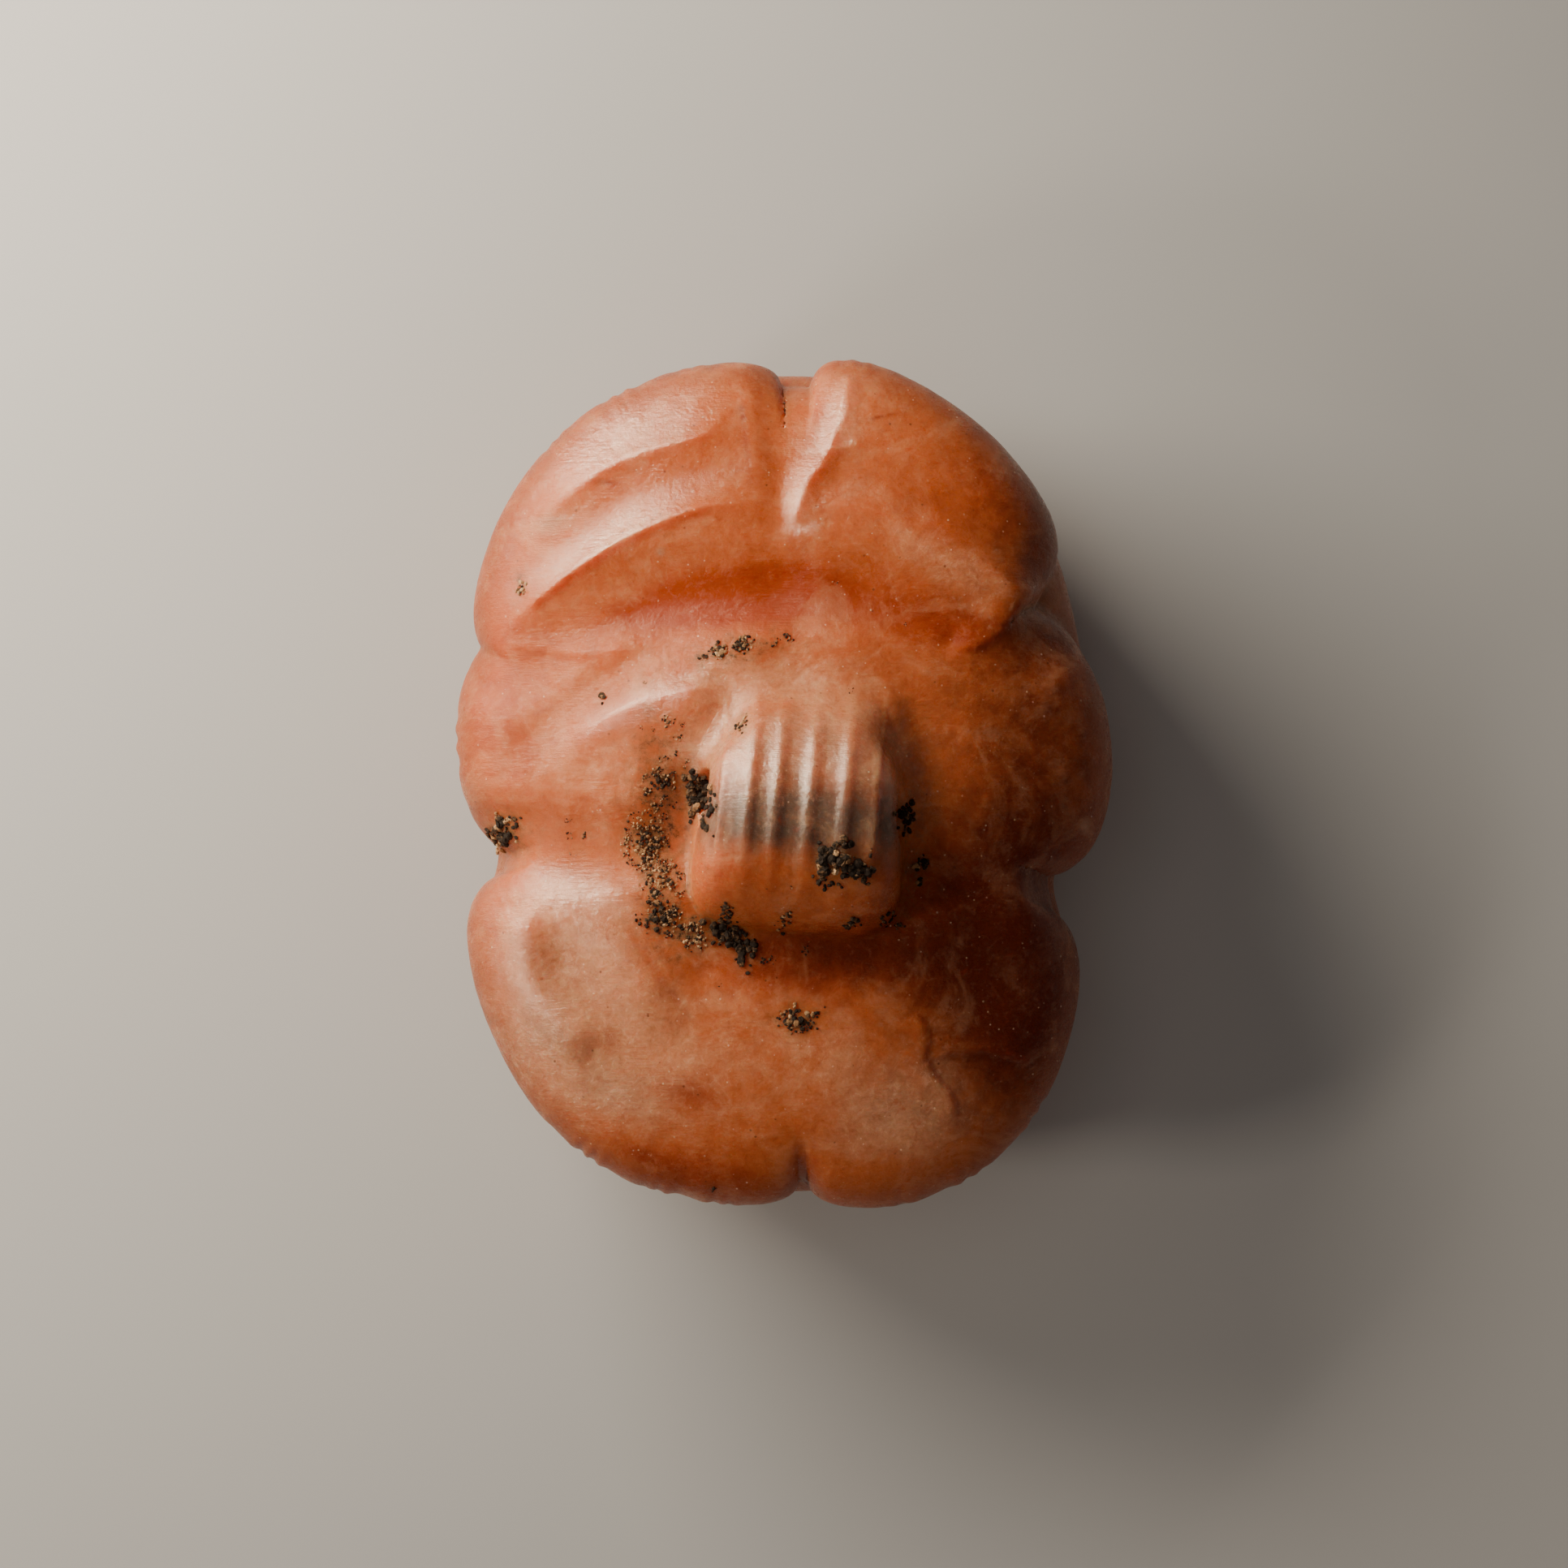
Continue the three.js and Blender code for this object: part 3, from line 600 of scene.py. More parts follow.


# Colour zones on the belly: name, middle, half sizes, turn in degrees and strength
# Milky zones of the stone; two of them are painted light, marked below
MILKY_AND_PAINTED_LIGHT = [
    ("front left bevel", -6.0, 13.6, 2.8, 1.2, 27, 0.75),
    ("front left flank", -10.6, 9.4, 1.4, 2.2, -30, 0.25),
    ("front left thigh", -6.9, 9.6, 3.2, 0.6, 30, 0.6),
    ("groove", 0.6, 11.2, 0.8, 1.6, 0, 0.5),
    ("front right thigh", 6.3, 8.9, 3.4, 1.1, -28, 0.8),
    ("facet", 2.4, 14.5, 0.5, 1.2, -15, 0.7),
    ("head side of the loop", -0.8, 4.5, 4.0, 0.9, 0, 0.35),
    ("loop", 0.9, 1.2, 5.0, 2.8, -3, 1.0),
    ("left of the loop", -7.2, -0.4, 3.0, 2.2, 35, 0.4),
    # Painted light: lifts the shade in the dip at the loop's corner
    ("corner of the loop", -3.0, 2.9, 0.9, 1.5, -15, 0.8),
    ("hind left hollow", -9.4, -6.2, 0.9, 1.3, 0, 0.5),
    ("hind left thigh", -8.0, -4.9, 2.4, 0.9, -20, 0.9),
    # Painted highlight along the outer edge of the hind shin
    ("hind left shin", -10.0, -7.5, 0.5, 2.2, 28, 1.0),
    ("hind left flank", -9.0, -9.8, 3.2, 3.8, 30, 1.0),
    ("hind left channel", -7.6, -7.8, 2.2, 1.8, -40, 0.45),
    ("hind left foot", -6.2, -11.8, 3.0, 1.8, -20, 0.5),
    ("hind middle", -4.8, -9.4, 4.2, 3.0, -20, 0.6),
    ("hind right", 1.6, -10.6, 2.8, 1.1, 0, 0.45),
    ("hind right flake", 4.3, -12.8, 3.0, 2.2, 0, 1.0),
]
# Deep orange: partly the stone's own deeper colour, partly painted shade in the recesses, the channel
# and the cleft, under the loop, along the tail rim and on the sides turned away from the key light
DEEP_AND_SHADE = [
    ("left channel", -2.1, 12.5, 2.6, 1.3, 15, 0.4),
    ("front right leg", 8.6, 11.9, 3.2, 3.5, 0, 0.6),
    ("left recess", -4.6, 7.0, 4.0, 1.1, 14, 0.85),
    ("middle recess", 0.6, 7.5, 3.4, 1.4, 0, 1.0),
    ("recess beside the groove", -2.1, 7.3, 2.8, 1.0, 5, 0.8),
    ("right recess", 6.4, 6.3, 3.4, 1.2, -14, 0.9),
    ("left middle leg", -11.3, 2.8, 2.2, 4.5, 0, 0.6),
    ("front left flank", -11.6, 9.8, 1.6, 3.6, -10, 0.55),
    ("right front thigh", 4.2, 11.2, 2.6, 1.2, -20, 0.35),
    ("tail side of the loop", 0.8, -7.0, 4.8, 1.6, 0, 1.0),
    ("right of the loop", 7.0, -5.0, 3.5, 3.5, 0, 0.9),
    ("right waist", 10.5, -6.0, 3.0, 3.5, 0, 1.0),
    ("tail rim", -3.4, -15.7, 3.5, 1.2, -10, 1.0),
    ("tail cleft", 0.8, -15.4, 0.7, 1.4, 0, 0.6),
]
# Dark red painted as shade on the right side and on the tail side of the loop, where the key light does
# not reach
SHADED_SIDE = [
    ("right middle leg", 9.9, 2.0, 4.0, 6.0, 0, 0.6),
    ("right waist", 9.5, -6.0, 4.5, 4.5, 0, 1.0),
    ("front right rim", 11.3, 9.5, 2.6, 5.0, 10, 0.6),
    ("hind right leg", 9.0, -11.0, 4.0, 3.6, 0, 0.6),
    ("tail side of the loop", 1.8, -6.8, 4.5, 1.3, 0, 0.6),
]
MATT = [
    ("head side of the loop", -0.2, 4.6, 5.5, 1.8, 0, 0.8),
    ("left of the loop", -5.2, -1.5, 1.8, 5.0, 0, 0.9),
    ("left middle leg", -10.3, 3.2, 2.6, 2.8, 0, 0.9),
    ("recess", -1.0, 7.0, 9.0, 1.3, 0, 0.5),
    ("hind middle", -2.5, -11.0, 4.5, 3.0, 0, 0.5),
    ("hind right flake", 5.3, -13.0, 4.0, 2.6, 0, 0.6),
]
POLISHED = [
    ("front left bevel", -6.0, 13.8, 3.4, 1.5, 27, 1.0),
    ("front left thigh", -6.9, 9.7, 3.6, 0.8, 30, 0.9),
    ("groove", 0.9, 10.6, 0.8, 2.4, -10, 1.0),
    ("facet", 2.2, 14.2, 0.8, 1.6, -15, 1.0),
    ("loop", 0.9, 0.6, 5.0, 2.4, 0, 1.0),
    ("hind left thigh", -7.5, -5.3, 2.8, 1.3, -33, 1.0),
    ("hind left shin", -10.2, -7.6, 1.2, 3.2, 26, 1.0),
    ("lower edge of the left middle leg", -5.4, 3.2, 3.0, 0.6, 25, 0.8),
]
SMOKY = [
    ("band of the loop", 0.9, -1.5, 7.0, 1.45, -3, 1.0),
    ("crown of the loop", 0.9, 1.4, 7.0, 2.4, 0, 0.28),
]
GREY = [
    ("top of the loop", 0.9, 1.7, 4.0, 2.0, 0, 0.22),
    ("patch on the front left leg", -9.3, 10.4, 0.8, 0.4, 20, 0.55),
    ("dot on the front left thigh", -4.9, 9.2, 0.14, 0.14, 0, 0.8),
    ("dot at the right rim", 12.0, -1.7, 0.18, 0.22, 0, 0.8),
    ("hind left foot", -6.6, -12.4, 2.2, 1.0, -15, 0.35),
    ("hind left flank", -9.8, -10.0, 1.2, 1.0, 0, 0.25),
    ("hind left leg", -8.6, -9.0, 2.6, 3.6, 25, 0.3),
    ("hind right flake", 4.4, -13.2, 2.4, 1.8, 0, 0.4),
]
RUSTY = [
    ("spots by the channel", -1.7, 14.95, 0.14, 0.14, 0, 1.0),
    ("spot by the channel", -1.62, 14.6, 0.12, 0.12, 0, 1.0),
    ("vein by the channel", -1.5, 13.4, 0.12, 1.4, 8, 0.45),
    ("vein on the front right leg", 3.75, 14.6, 0.6, 0.06, 14, 0.9),
    ("stain under the bevel", -7.1, 12.0, 0.5, 0.1, -8, 0.8),
    ("stain on the hind foot", -3.6, -12.3, 1.1, 0.6, -20, 0.6),
    ("stain at the tail", -5.6, -14.8, 0.9, 0.3, -25, 0.6),
    ("spot on the hind leg", -6.9, -10.1, 0.25, 0.4, 0, 0.5),
    ("spot on the middle leg", -9.6, 2.9, 0.5, 0.1, 20, 0.5),
]
DUSTY = [
    ("left of the loop", -5.0, -1.2, 1.2, 4.2, 0, 0.9),
    ("left foot of the loop", -3.9, -5.6, 1.3, 1.2, 0, 0.9),
    ("head side", -2.2, 5.3, 1.8, 0.6, 15, 0.8),
    ("head side right", 0.0, 5.8, 0.9, 0.4, 0, 0.6),
    ("loop crown", -1.6, 2.4, 0.6, 0.8, 0, 0.5),
    ("left waist", -11.1, -2.0, 1.0, 0.9, 0, 0.9),
    ("hind middle", 0.6, -9.3, 1.1, 0.7, 0, 0.7),
    ("right of the loop", 5.1, -3.0, 0.6, 2.6, 0, 0.6),
    ("left front leg", -10.5, 7.9, 0.4, 0.5, 0, 0.7),
]
ZONES = dict(milky=MILKY_AND_PAINTED_LIGHT, deep=DEEP_AND_SHADE, shaded_side=SHADED_SIDE, matt=MATT, polished=POLISHED, smoky=SMOKY,
             grey=GREY, rusty=RUSTY, dusty=DUSTY)
# Where the masks start, and over what height they fade in
ZONE_FADE = 3
ON_LOOP_FROM = 0.4
ON_LOOP_FADE = 1.2
ON_BACK_FROM = 1
ON_BACK_FADE = 3


def zone_mask(zones, p):
    """How strongly each point lies in the zones. It fades out down the sides."""
    mask = np.zeros(len(p))
    for _, x, y, half_x, half_y, turn, strength in zones:
        cos, sin = math.cos(math.radians(turn)), math.sin(math.radians(turn))
        dx, dy = p[:, 0] - x, p[:, 1] - y
        across, along = dx * cos + dy * sin, dy * cos - dx * sin
        mask += strength * np.exp(-((across / half_x) ** 2) - (along / half_y) ** 2)
    return np.clip(mask, 0, 1) * smooth((p[:, 2] - BACK_DEPTH) / ZONE_FADE)


def on_loop(p):
    """One on top of the loop, none on the stone below it."""
    return smooth((p[:, 2] - BELLY_HEIGHT - ON_LOOP_FROM) / ON_LOOP_FADE)


def rim_shade(p):
    """One at the outer rim of the legs, none away from it. It paints shade along the rim."""
    share = np.hypot(p[:, 0], p[:, 1]) / around(OUTLINE, np.arctan2(p[:, 1], p[:, 0]))
    return smooth((share - RIM_SHADE_BAND) / (1 - RIM_SHADE_BAND))


def on_back(p):
    """One on the back, none on the legs."""
    return smooth((BACK_DEPTH + ON_BACK_FROM - p[:, 2]) / ON_BACK_FADE)


def add_attribute(mesh, name, values):
    attribute = mesh.attributes.new(name, "FLOAT", "POINT")
    attribute.data.foreach_set("value", values.astype(np.float32))


def add_masks(mesh, p):
    """The masks that the stone's material reads."""
    for name, zones in ZONES.items():
        mask = zone_mask(zones, p)
        add_attribute(mesh, name, mask * on_loop(p) if name == "smoky" else mask)
    # The rim mask paints shade along the outer rim
    add_attribute(mesh, "rim", rim_shade(p))
    add_attribute(mesh, "back", on_back(p))


# The span that most of a noise's values lie in, and the height of the bumps in the surface
NOISE_SPAN = (0.3, 0.7)
BUMP_HEIGHT = 0.06


class Material:
    """A procedural material, built node by node. Texture positions are in millimetres."""

    def __init__(self, name):
        self.data = bpy.data.materials.new(name)
        self.data.use_nodes = True
        self.tree = self.data.node_tree
        self.shader = self.tree.nodes["Principled BSDF"]
        place = self.node("ShaderNodeTexCoord").outputs["Object"]
        scaled = self.node("ShaderNodeVectorMath", {0: place, 1: (1 / MM,) * 3}, operation="MULTIPLY")
        self.place = scaled.outputs[0]

    def node(self, kind, inputs=None, **settings):
        made = self.tree.nodes.new(kind)
        for key, value in settings.items():
            setattr(made, key, value)
        for key, value in (inputs or {}).items():
            self.feed(made.inputs[key], value)
        return made

    def feed(self, socket, value):
        if isinstance(value, bpy.types.NodeSocket):
            self.tree.links.new(value, socket)
        else:
            socket.default_value = value

    def attribute(self, name):
        return self.node("ShaderNodeAttribute", attribute_name=name).outputs["Fac"]

    def noise(self, scale, detail=4.0, roughness=0.55, distortion=0.0, place=None):
        settings = {"Vector": place or self.place, "Scale": scale, "Detail": detail,
                    "Roughness": roughness, "Distortion": distortion}
        return self.node("ShaderNodeTexNoise", settings).outputs["Fac"]

    def stretched(self, turn, scale):
        mapping = {"Vector": self.place, "Rotation": (0, 0, math.radians(turn)), "Scale": scale}
        return self.node("ShaderNodeMapping", mapping).outputs["Vector"]

    def ramp(self, value, low, high, to_low=0.0, to_high=1.0):
        """A value between low and high, turned softly into one between two others."""
        settings = {"Value": value, "From Min": low, "From Max": high,
                    "To Min": to_low, "To Max": to_high}
        made = self.node("ShaderNodeMapRange", settings, interpolation_type="SMOOTHSTEP")
        return made.outputs["Result"]

    def swing(self, noise, to_low, to_high):
        """The middle span of a noise, turned into a value between two others."""
        return self.ramp(noise, *NOISE_SPAN, to_low, to_high)

    def math(self, operation, a, b=0.0):
        return self.node("ShaderNodeMath", {0: a, 1: b}, operation=operation).outputs[0]

    def add(self, a, b):
        return self.math("ADD", a, b)

    def times(self, a, b):
        return self.math("MULTIPLY", a, b)

    def dots(self, cells, edge, gathered):
        """Dots with soft edges: how many to a millimetre, their edge, and where they gather."""
        cell = self.node("ShaderNodeTexVoronoi", {"Vector": self.place, "Scale": cells}, feature="F1")
        return self.times(self.ramp(cell.outputs["Distance"], *edge, 1.0, 0.0), gathered)

    def blend(self, share, a, b):
        return self.node("ShaderNodeMix", {0: share, 6: a, 7: b}, data_type="RGBA").outputs[2]

    def bump(self, strength, height):
        inputs = {"Strength": strength, "Distance": BUMP_HEIGHT * MM, "Height": height}
        return self.node("ShaderNodeBump", inputs).outputs["Normal"]

    def set(self, **values):
        for key, value in values.items():
            self.feed(self.shader.inputs[key.replace("_", " ")], value)


def rgb(red, green, blue):
    """A colour given as display values from 0 to 255."""
    def linear(c):
        c /= 255
        return c / 12.92 if c <= 0.04045 else ((c + 0.055) / 1.055) ** 2.4
    return (linear(red), linear(green), linear(blue), 1.0)


# Colours of the stone and of the soil
BASE = rgb(198, 106, 58)
# Milky stone colour, also used for painted light
MILK_AND_PAINTED_LIGHT = rgb(216, 146, 108)
# Deep orange of the stone, also used as painted shade
DEEP_ORANGE_AND_SHADE = rgb(164, 60, 8)
# Dark red of painted shade
SHADE_RED = rgb(106, 32, 5)
SMOKE = rgb(104, 86, 76)
# Painted shade along the outer rim
RIM_SHADE_BROWN = rgb(142, 78, 46)
BACK_BROWN = rgb(146, 58, 22)
GREY_SPOT = rgb(172, 144, 124)
RUST = rgb(142, 44, 12)
SPECKLE = rgb(150, 66, 34)
PALE_GRIT = rgb(240, 190, 160)
DARK_GRIT = rgb(146, 70, 38)
VEIN = rgb(232, 176, 138)
STAIN = rgb(168, 62, 22)
FLECK = rgb(250, 222, 198)
SPECK = rgb(96, 44, 24)
DUST = rgb(132, 98, 70)
DARK_DUST = rgb(34, 22, 14)
DARK_SOIL = rgb(34, 23, 16)
BROWN_SOIL = rgb(150, 112, 78)
PALE_SOIL = rgb(206, 172, 134)

# Surface of the stone
DUST_ROUGHENS = 0.4
WEAR_ROUGHENS = 0.16
POLISH_SMOOTHS = 0.08
SCRATCHES = [(35, (0.7, 8, 3)), (-55, (0.6, 9, 3))]  # turn in degrees, and cells to a millimetre
SCATTER_REACH = 1.9
SCATTER = (1.0, 0.3, 0.14)  # shares of the reach for red, green and blue light


def zone_colours(m, cloud, veil):
    """The colours of the zones, with clouded edges, and how milky the stone is. Some zones paint shade
    and light.
    """
    # Milky: the stone's milky zones, and in two places painted light
    milky = m.add(m.attribute("milky"), m.ramp(cloud, 0.36, 0.66, -0.26, 0.18))
    milky = m.ramp(m.add(milky, m.swing(veil, -0.2, 0.16)), 0.0, 1.0)
    # Deep orange: partly the stone's colour, partly painted shade
    deep = m.ramp(m.add(m.attribute("deep"), m.swing(veil, -0.15, 0.1)), 0.05, 1.0)
    # Painted shade on the right side and on the tail side of the loop
    shaded_side = m.ramp(m.add(m.attribute("shaded_side"), m.swing(veil, -0.12, 0.12)), 0.0, 1.0)
    smoky = m.ramp(m.add(m.attribute("smoky"), m.swing(veil, -0.12, 0.08)), 0.0, 1.0)
    # Painted shade along the outer rim, clouded
    rim = m.times(m.attribute("rim"), m.swing(veil, 0.85, 0.6))
    pools = m.ramp(m.noise(0.16, 7, 0.62, 0.8), 0.4, 0.62, 0.1, 0.75)
    pools = m.times(m.attribute("back"), pools)
    grey, rusty = m.attribute("grey"), m.attribute("rusty")
    colour = m.blend(milky, BASE, MILK_AND_PAINTED_LIGHT)
    for share, tint in ((deep, DEEP_ORANGE_AND_SHADE), (shaded_side, SHADE_RED), (smoky, SMOKE), (rim, RIM_SHADE_BROWN),
                        (pools, BACK_BROWN), (grey, GREY_SPOT), (rusty, RUST)):
        colour = m.blend(share, colour, tint)
    return colour, milky


def fine_colours(m, colour, cloud, milky):
    """Grit, veins, stains, pale flecks and dark specks over the zones."""
    speckle = m.ramp(m.noise(7.0, 3, 0.6), 0.35, 0.75, 0.0, 0.16)
    grit = m.noise(2.6, 9, 0.78, 0.6)
    pale = m.times(m.ramp(grit, 0.5, 0.66, 0.0, 0.42), m.ramp(milky, 0.0, 1.0, 0.25, 1.0))
    dark = m.ramp(grit, 0.34, 0.5, 0.32, 0.0)
    vein = m.math("ABSOLUTE", m.math("SUBTRACT", m.noise(0.3, 7, 0.66, 0.5), 0.5))
    vein = m.times(m.ramp(vein, 0.0, 0.1, 0.2, 0.0), m.ramp(cloud, 0.45, 0.6))
    stain = m.math("SUBTRACT", m.noise(0.8, 6, 0.7, 0.8), 0.6)
    stain = m.ramp(stain, 0.0, 0.12, 0.0, 0.45)
    fleck = m.dots(3.0, (0.08, 0.16), m.ramp(m.noise(1.1, 4, 0.8), 0.5, 0.62))
    speck = m.dots(1.7, (0.05, 0.12), m.ramp(m.noise(0.7, 4, 0.8), 0.5, 0.58))
    for share, tint in ((speckle, SPECKLE), (pale, PALE_GRIT), (dark, DARK_GRIT), (vein, VEIN),
                        (stain, STAIN), (m.times(fleck, 0.6), FLECK), (m.times(speck, 0.7), SPECK)):
        colour = m.blend(share, colour, tint)
    return colour


def dusted(m, colour):
    """Soil rubbed into the stone: the colour with it, and where it lies."""
    grain = m.noise(1.9, 8, 0.8)
    dust = m.times(m.attribute("dusty"), m.ramp(grain, 0.46, 0.56))
    dark = m.times(m.attribute("dusty"), m.ramp(grain, 0.56, 0.64))
    colour = m.blend(m.times(dust, 0.75), colour, DUST)
    return m.blend(dark, colour, DARK_DUST), dust


def stone_roughness(m, dust):
    rough = m.add(m.swing(m.noise(0.9, 5, 0.65), 0.27, 0.38), m.times(dust, DUST_ROUGHENS))
    rough = m.add(rough, m.times(m.attribute("matt"), WEAR_ROUGHENS))
    rough = m.math("SUBTRACT", rough, m.times(m.attribute("polished"), POLISH_SMOOTHS))
    return m.add(rough, m.ramp(m.noise(4.5, 4, 0.8), 0.35, 0.65, -0.1, 0.1))


def scratched(m):
    """Fine scratches in two directions, in patches, and a fine grain."""
    across, along = [m.noise(1.0, 3, 0.7, 0.3, m.stretched(*way)) for way in SCRATCHES]
    patches = m.ramp(m.noise(0.5, 4, 0.7), 0.42, 0.6, 0.25, 0.9)
    return m.bump(0.5, m.add(m.times(m.add(across, along), patches), m.noise(6, 6, 0.75)))


def carnelian():
    m = Material("carnelian")
    cloud = m.noise(0.32, 8, 0.68, 0.9)
    colour, milky = zone_colours(m, cloud, m.noise(1.1, 4, 0.6, 0.4))
    colour, dust = dusted(m, fine_colours(m, colour, cloud, milky))
    normal = scratched(m)
    gloss = m.times(m.ramp(m.attribute("polished"), 0.0, 1.0, 0.12, 1.0),
                    m.ramp(m.noise(6.5, 5, 0.75, 1.2), 0.42, 0.58, 0.5, 1.0))
    m.set(Base_Color=colour, Roughness=stone_roughness(m, dust), Specular_IOR_Level=0.28,
          Normal=normal)
    m.set(Coat_Weight=gloss, Coat_Roughness=0.17, Coat_IOR=2.5, Coat_Normal=normal)
    m.set(Subsurface_Weight=0.85, Subsurface_Radius=SCATTER, Subsurface_Scale=SCATTER_REACH * MM)
    return m.data


# Patches of soil: name, middle, half sizes, turn in degrees, number of crumbs, their radius and the
# share of dark ones
SOIL = [
    ("left mouth of the bore", -3.35, -0.8, 0.4, 1.4, 0, 95, 0.17, 0.95),
    ("right mouth of the bore", 4.8, -1.1, 0.2, 1.0, 0, 36, 0.13, 0.95),
    ("right of the loop", 5.4, -3.4, 0.25, 0.7, 0, 24, 0.11, 0.85),
    ("right foot of the loop", 4.2, -5.1, 0.75, 0.15, 52, 22, 0.11, 1.0),
    ("clod on the loop", 2.0, -3.2, 0.5, 0.85, -20, 75, 0.19, 0.95),
    ("small clod on the loop", 3.05, -3.4, 0.34, 0.6, 10, 34, 0.15, 0.9),
    ("clod at the tail side", -2.2, -6.25, 0.75, 0.5, -15, 75, 0.19, 1.0),
    ("left foot crumb", -2.25, -5.0, 0.28, 0.35, 0, 22, 0.12, 0.9),
    ("tail foot crumb", -0.1, -5.35, 0.28, 0.42, 0, 24, 0.12, 0.9),
    ("tail foot grain", 2.7, -5.25, 0.22, 0.22, 0, 12, 0.13, 1.0),
    ("left waist", -11.15, -2.0, 0.62, 0.6, 0, 75, 0.15, 0.7),
    ("hind middle", 0.55, -9.35, 0.85, 0.42, 5, 85, 0.11, 0.75),
    ("swath, head end", -4.4, 1.6, 0.8, 1.3, 10, 90, 0.05, 0.6),
    ("swath, upper middle", -4.9, -0.2, 0.8, 1.2, 0, 160, 0.06, 0.55),
    ("swath, middle", -5.5, -2.2, 0.9, 1.2, 0, 340, 0.07, 0.45),
    ("swath, lower middle", -4.8, -4.2, 0.8, 1.3, 15, 340, 0.07, 0.45),
    ("swath, tail end", -4.0, -5.8, 1.1, 0.6, -30, 260, 0.075, 0.5),
    ("swath, clods", -5.0, -5.3, 0.5, 0.45, 0, 50, 0.12, 0.9),
    ("swath, upper clod", -4.9, 0.1, 0.35, 0.3, 0, 26, 0.1, 0.9),
    ("swath, middle clod", -5.4, -2.3, 0.45, 0.5, 0, 36, 0.1, 0.8),
    ("head side", -2.25, 5.4, 1.1, 0.3, 18, 110, 0.09, 0.6),
    ("head side right", -0.1, 5.8, 0.4, 0.2, 10, 20, 0.08, 0.7),
    ("loop crown", -1.65, 2.4, 0.3, 0.4, 0, 24, 0.08, 0.6),
    ("left front leg", -10.5, 7.9, 0.18, 0.35, 0, 24, 0.08, 0.5),
    ("left middle leg", -7.3, 3.45, 0.25, 0.12, 20, 14, 0.07, 0.8),
    ("right foot specks", 4.6, -6.2, 0.5, 0.8, 0, 18, 0.06, 0.9),
    ("scattered, left", -7.5, -2.2, 1.4, 1.2, 0, 30, 0.05, 0.6),
    ("scattered, tail side", -0.5, -6.8, 2.6, 0.7, 0, 26, 0.05, 0.9),
    ("scattered, all over", 0.0, 0.0, 8.0, 10.0, 0, 90, 0.035, 0.6),
    ("tail rim", -3.2, -16.2, 1.2, 0.3, 8, 16, 0.06, 0.9),
]
CRUMBS_IN_A_CLUMP = 7
CLUMP_SPREAD = 1.3
CRUMB_SIZES = (0.45, 1.3)
SIZE_IN_THE_MIDDLE = 1.15
SIZE_LOST_OUTWARDS = 0.5
LARGE_CRUMB = 0.12
CRUMB_STRETCH = (0.75, 1.2)
CRUMB_FLATNESS = 0.7
LUMP_HEIGHT = 0.55
LUMP_SCALE = 1.6
LUMP_SHIFT = 5
CRUMB_LIFT = 0.25
CRUMB_LIFTS = (0, 1.6)
DARK_TONES = (0, 0.3)
PALE_TONES = (0.55, 1)
ABOVE_STONE = 20
SOIL_SEED = 7


def crumb_shape(detail):
    """The points and triangles of a ball of radius one."""
    bm = bmesh.new()
    bmesh.ops.create_icosphere(bm, subdivisions=detail, radius=1)
    points = np.array([v.co for v in bm.verts])
    faces = np.array([[v.index for v in f.verts] for f in bm.faces])
    bm.free()
    return points, faces


def soil_crumbs(stone_mesh):
    """Crumbs of soil, each a small rough lump that sits on the stone or on crumbs under it."""
    draw = random.Random(SOIL_SEED)
    shapes = {True: crumb_shape(2), False: crumb_shape(1)}
    tree = BVHTree.FromPolygons([v.co for v in stone_mesh.vertices],
                                [tuple(f.vertices) for f in stone_mesh.polygons])
    points, faces, tones, count = [], [], [], 0
    for _, x, y, half_x, half_y, turn, number, size, dark_share in SOIL:
        cos, sin = math.cos(math.radians(turn)), math.sin(math.radians(turn))
        clumps = []
        for _ in range(max(1, number // CRUMBS_IN_A_CLUMP)):
            away, way = math.sqrt(draw.random()), draw.uniform(0, 2 * math.pi)
            clumps.append((half_x * away * math.cos(way), half_y * away * math.sin(way), away))
        for _ in range(number):
            a, b, away = draw.choice(clumps)
            a += draw.gauss(0, CLUMP_SPREAD * size)
            b += draw.gauss(0, CLUMP_SPREAD * size)
            place = Vector((x + a * cos - b * sin, y + a * sin + b * cos, ABOVE_STONE))
            hit, normal, _, _ = tree.ray_cast(place, Vector((0, 0, -1)))
            if hit is None:
                continue
            outwards = SIZE_IN_THE_MIDDLE - SIZE_LOST_OUTWARDS * away
            radius = size * draw.uniform(*CRUMB_SIZES) * outwards
            base, triangles = shapes[radius > LARGE_CRUMB]
            shift = place * LUMP_SHIFT
            lumps = [noise.noise(Vector(c) * LUMP_SCALE + shift) for c in base]
            rough = 1 + LUMP_HEIGHT * np.array(lumps)
            stretch = (draw.uniform(*CRUMB_STRETCH), draw.uniform(*CRUMB_STRETCH), CRUMB_FLATNESS)
            lump = base * rough[:, None] * stretch
            spin = Matrix.Rotation(draw.uniform(0, 2 * math.pi), 3, "Z")
            tilt = normal.to_track_quat("Z", "Y").to_matrix() @ spin
            centre = hit + normal * radius * CRUMB_LIFT * draw.uniform(*CRUMB_LIFTS)
            points.append(lump * radius @ np.array(tilt).T + np.array(centre))
            faces.append(triangles + count)
            count += len(base)
            is_dark = draw.random() < dark_share
            tone = draw.uniform(*(DARK_TONES if is_dark else PALE_TONES))
            tones.append(np.full(len(base), tone))
    mesh = bpy.data.meshes.new("soil_crumbs")
    mesh.from_pydata(np.concatenate(points), [], np.concatenate(faces))
    mesh.update()
    add_attribute(mesh, "tone", np.concatenate(tones))
    return mesh


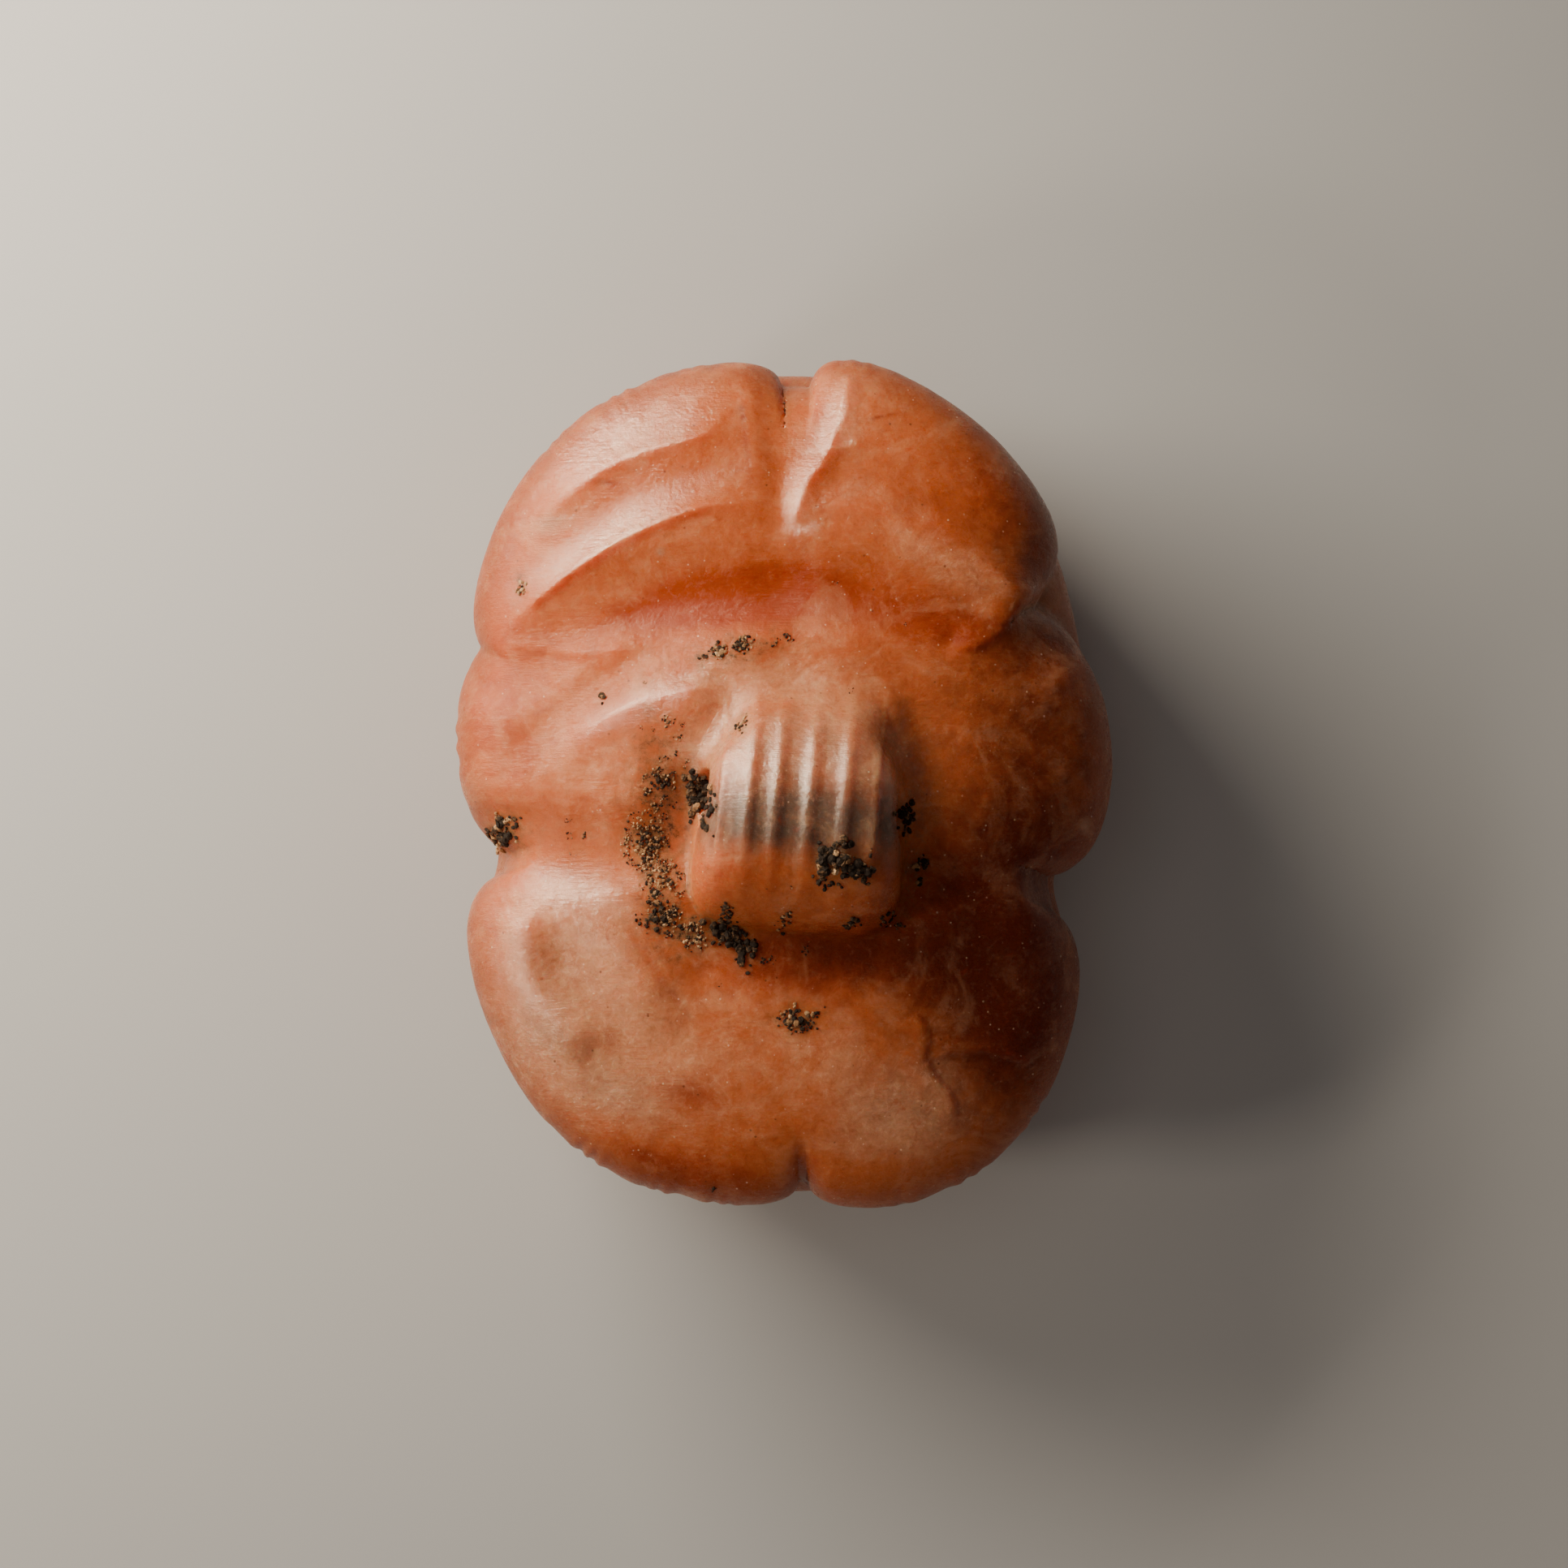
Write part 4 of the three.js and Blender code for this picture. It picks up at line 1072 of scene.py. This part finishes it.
def soil():
    m = Material("soil")
    grain = m.noise(9.0, 5, 0.7)
    tone = m.add(m.attribute("tone"), m.swing(grain, -0.15, 0.2))
    colour = m.blend(m.ramp(tone, 0.15, 0.6), DARK_SOIL, BROWN_SOIL)
    colour = m.blend(m.ramp(tone, 0.75, 1.05), colour, PALE_SOIL)
    m.set(Base_Color=colour, Roughness=m.swing(grain, 0.75, 0.95), Normal=m.bump(0.8, grain))
    return m.data


def add_piece(name, mesh, material):
    mesh.transform(Matrix.Scale(MM, 4))
    mesh.materials.append(material)
    piece = bpy.data.objects.new(name, mesh)
    bpy.context.scene.collection.objects.link(piece)
    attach(piece, "root")
    return piece


# The photograph's frame, straight down on the belly
VIEW_WIDTH = 62.8
CAMERA_DISTANCE = 400.0
SENSOR = 36.0


def add_camera():
    camera = bpy.data.objects.new("camera", bpy.data.cameras.new("camera"))
    camera.data.sensor_width = SENSOR
    camera.data.lens = SENSOR * CAMERA_DISTANCE / VIEW_WIDTH
    camera.location = (0, 0, (CAMERA_DISTANCE + LEG_RIM_HEIGHT) * MM)
    bpy.context.scene.collection.objects.link(camera)
    bpy.context.scene.camera = camera


def add_light(name, azimuth, elevation, distance, size, power, colour, glossy=True):
    """A soft box aimed at the stone. Only a glossy one is mirrored in the polish."""
    light = bpy.data.objects.new(name, bpy.data.lights.new(name, "AREA"))
    light.data.shape = "RECTANGLE"
    light.data.size = size[0] * MM
    light.data.size_y = size[1] * MM
    light.data.energy = power
    light.data.color = colour
    light.visible_camera = False
    light.visible_glossy = glossy
    a, e = math.radians(azimuth), math.radians(elevation)
    away = Vector((math.cos(a) * math.cos(e), math.sin(a) * math.cos(e), math.sin(e)))
    light.location = away * distance * MM
    light.rotation_mode = "QUATERNION"
    light.rotation_quaternion = away.to_track_quat("Z", "Y")
    bpy.context.scene.collection.objects.link(light)


FLOOR_SIZE = 1200.0
FLOOR_CLOUDS = 0.02
FLOOR_DARKER = (0.46, 0.5, 0.56, 1)
FLOOR_PALER = (0.5, 0.54, 0.6, 1)
WORLD_STRENGTH = 0.03
WHITE = (1, 1, 1, 1)
WARM = (1.0, 0.82, 0.6)
WARMER = (1.0, 0.72, 0.52)
MILD = (1.0, 0.86, 0.7)


def add_studio():
    half = FLOOR_SIZE / 2 * MM
    corners = [(-half, -half, 0), (half, -half, 0), (half, half, 0), (-half, half, 0)]
    floor_mesh = bpy.data.meshes.new("floor")
    floor_mesh.from_pydata(corners, [], [(0, 1, 2, 3)])
    m = Material("floor")
    m.set(Base_Color=m.blend(m.noise(FLOOR_CLOUDS), FLOOR_DARKER, FLOOR_PALER), Roughness=0.8)
    floor_mesh.materials.append(m.data)
    floor = bpy.data.objects.new("floor", floor_mesh)
    bpy.context.scene.collection.objects.link(floor)
    world = bpy.data.worlds.new("studio")
    world.use_nodes = True
    background = world.node_tree.nodes["Background"].inputs
    background["Color"].default_value = WHITE
    background["Strength"].default_value = WORLD_STRENGTH
    bpy.context.scene.world = world
    add_light("key", azimuth=139, elevation=31, distance=95, size=(76, 30), power=0.175, colour=WARM)
    add_light("left", azimuth=200, elevation=33, distance=110, size=(20, 14), power=0.035,
              colour=WARM)
    add_light("fill", azimuth=300, elevation=45, distance=140, size=(100, 100), power=0.02,
              colour=WARMER, glossy=False)
    add_light("top", azimuth=150, elevation=80, distance=300, size=(160, 160), power=0.055,
              colour=MILD, glossy=False)


add_camera()
stone_mesh, points = carved_stone()
add_masks(stone_mesh, points)
crumbs_mesh = soil_crumbs(stone_mesh)
scarab = add_piece("scarab_stone", stone_mesh, carnelian())
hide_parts("carved_stone")
crumbs = add_piece("soil_crumbs", crumbs_mesh, soil())
add_studio()

bpy.context.view_layer.update()
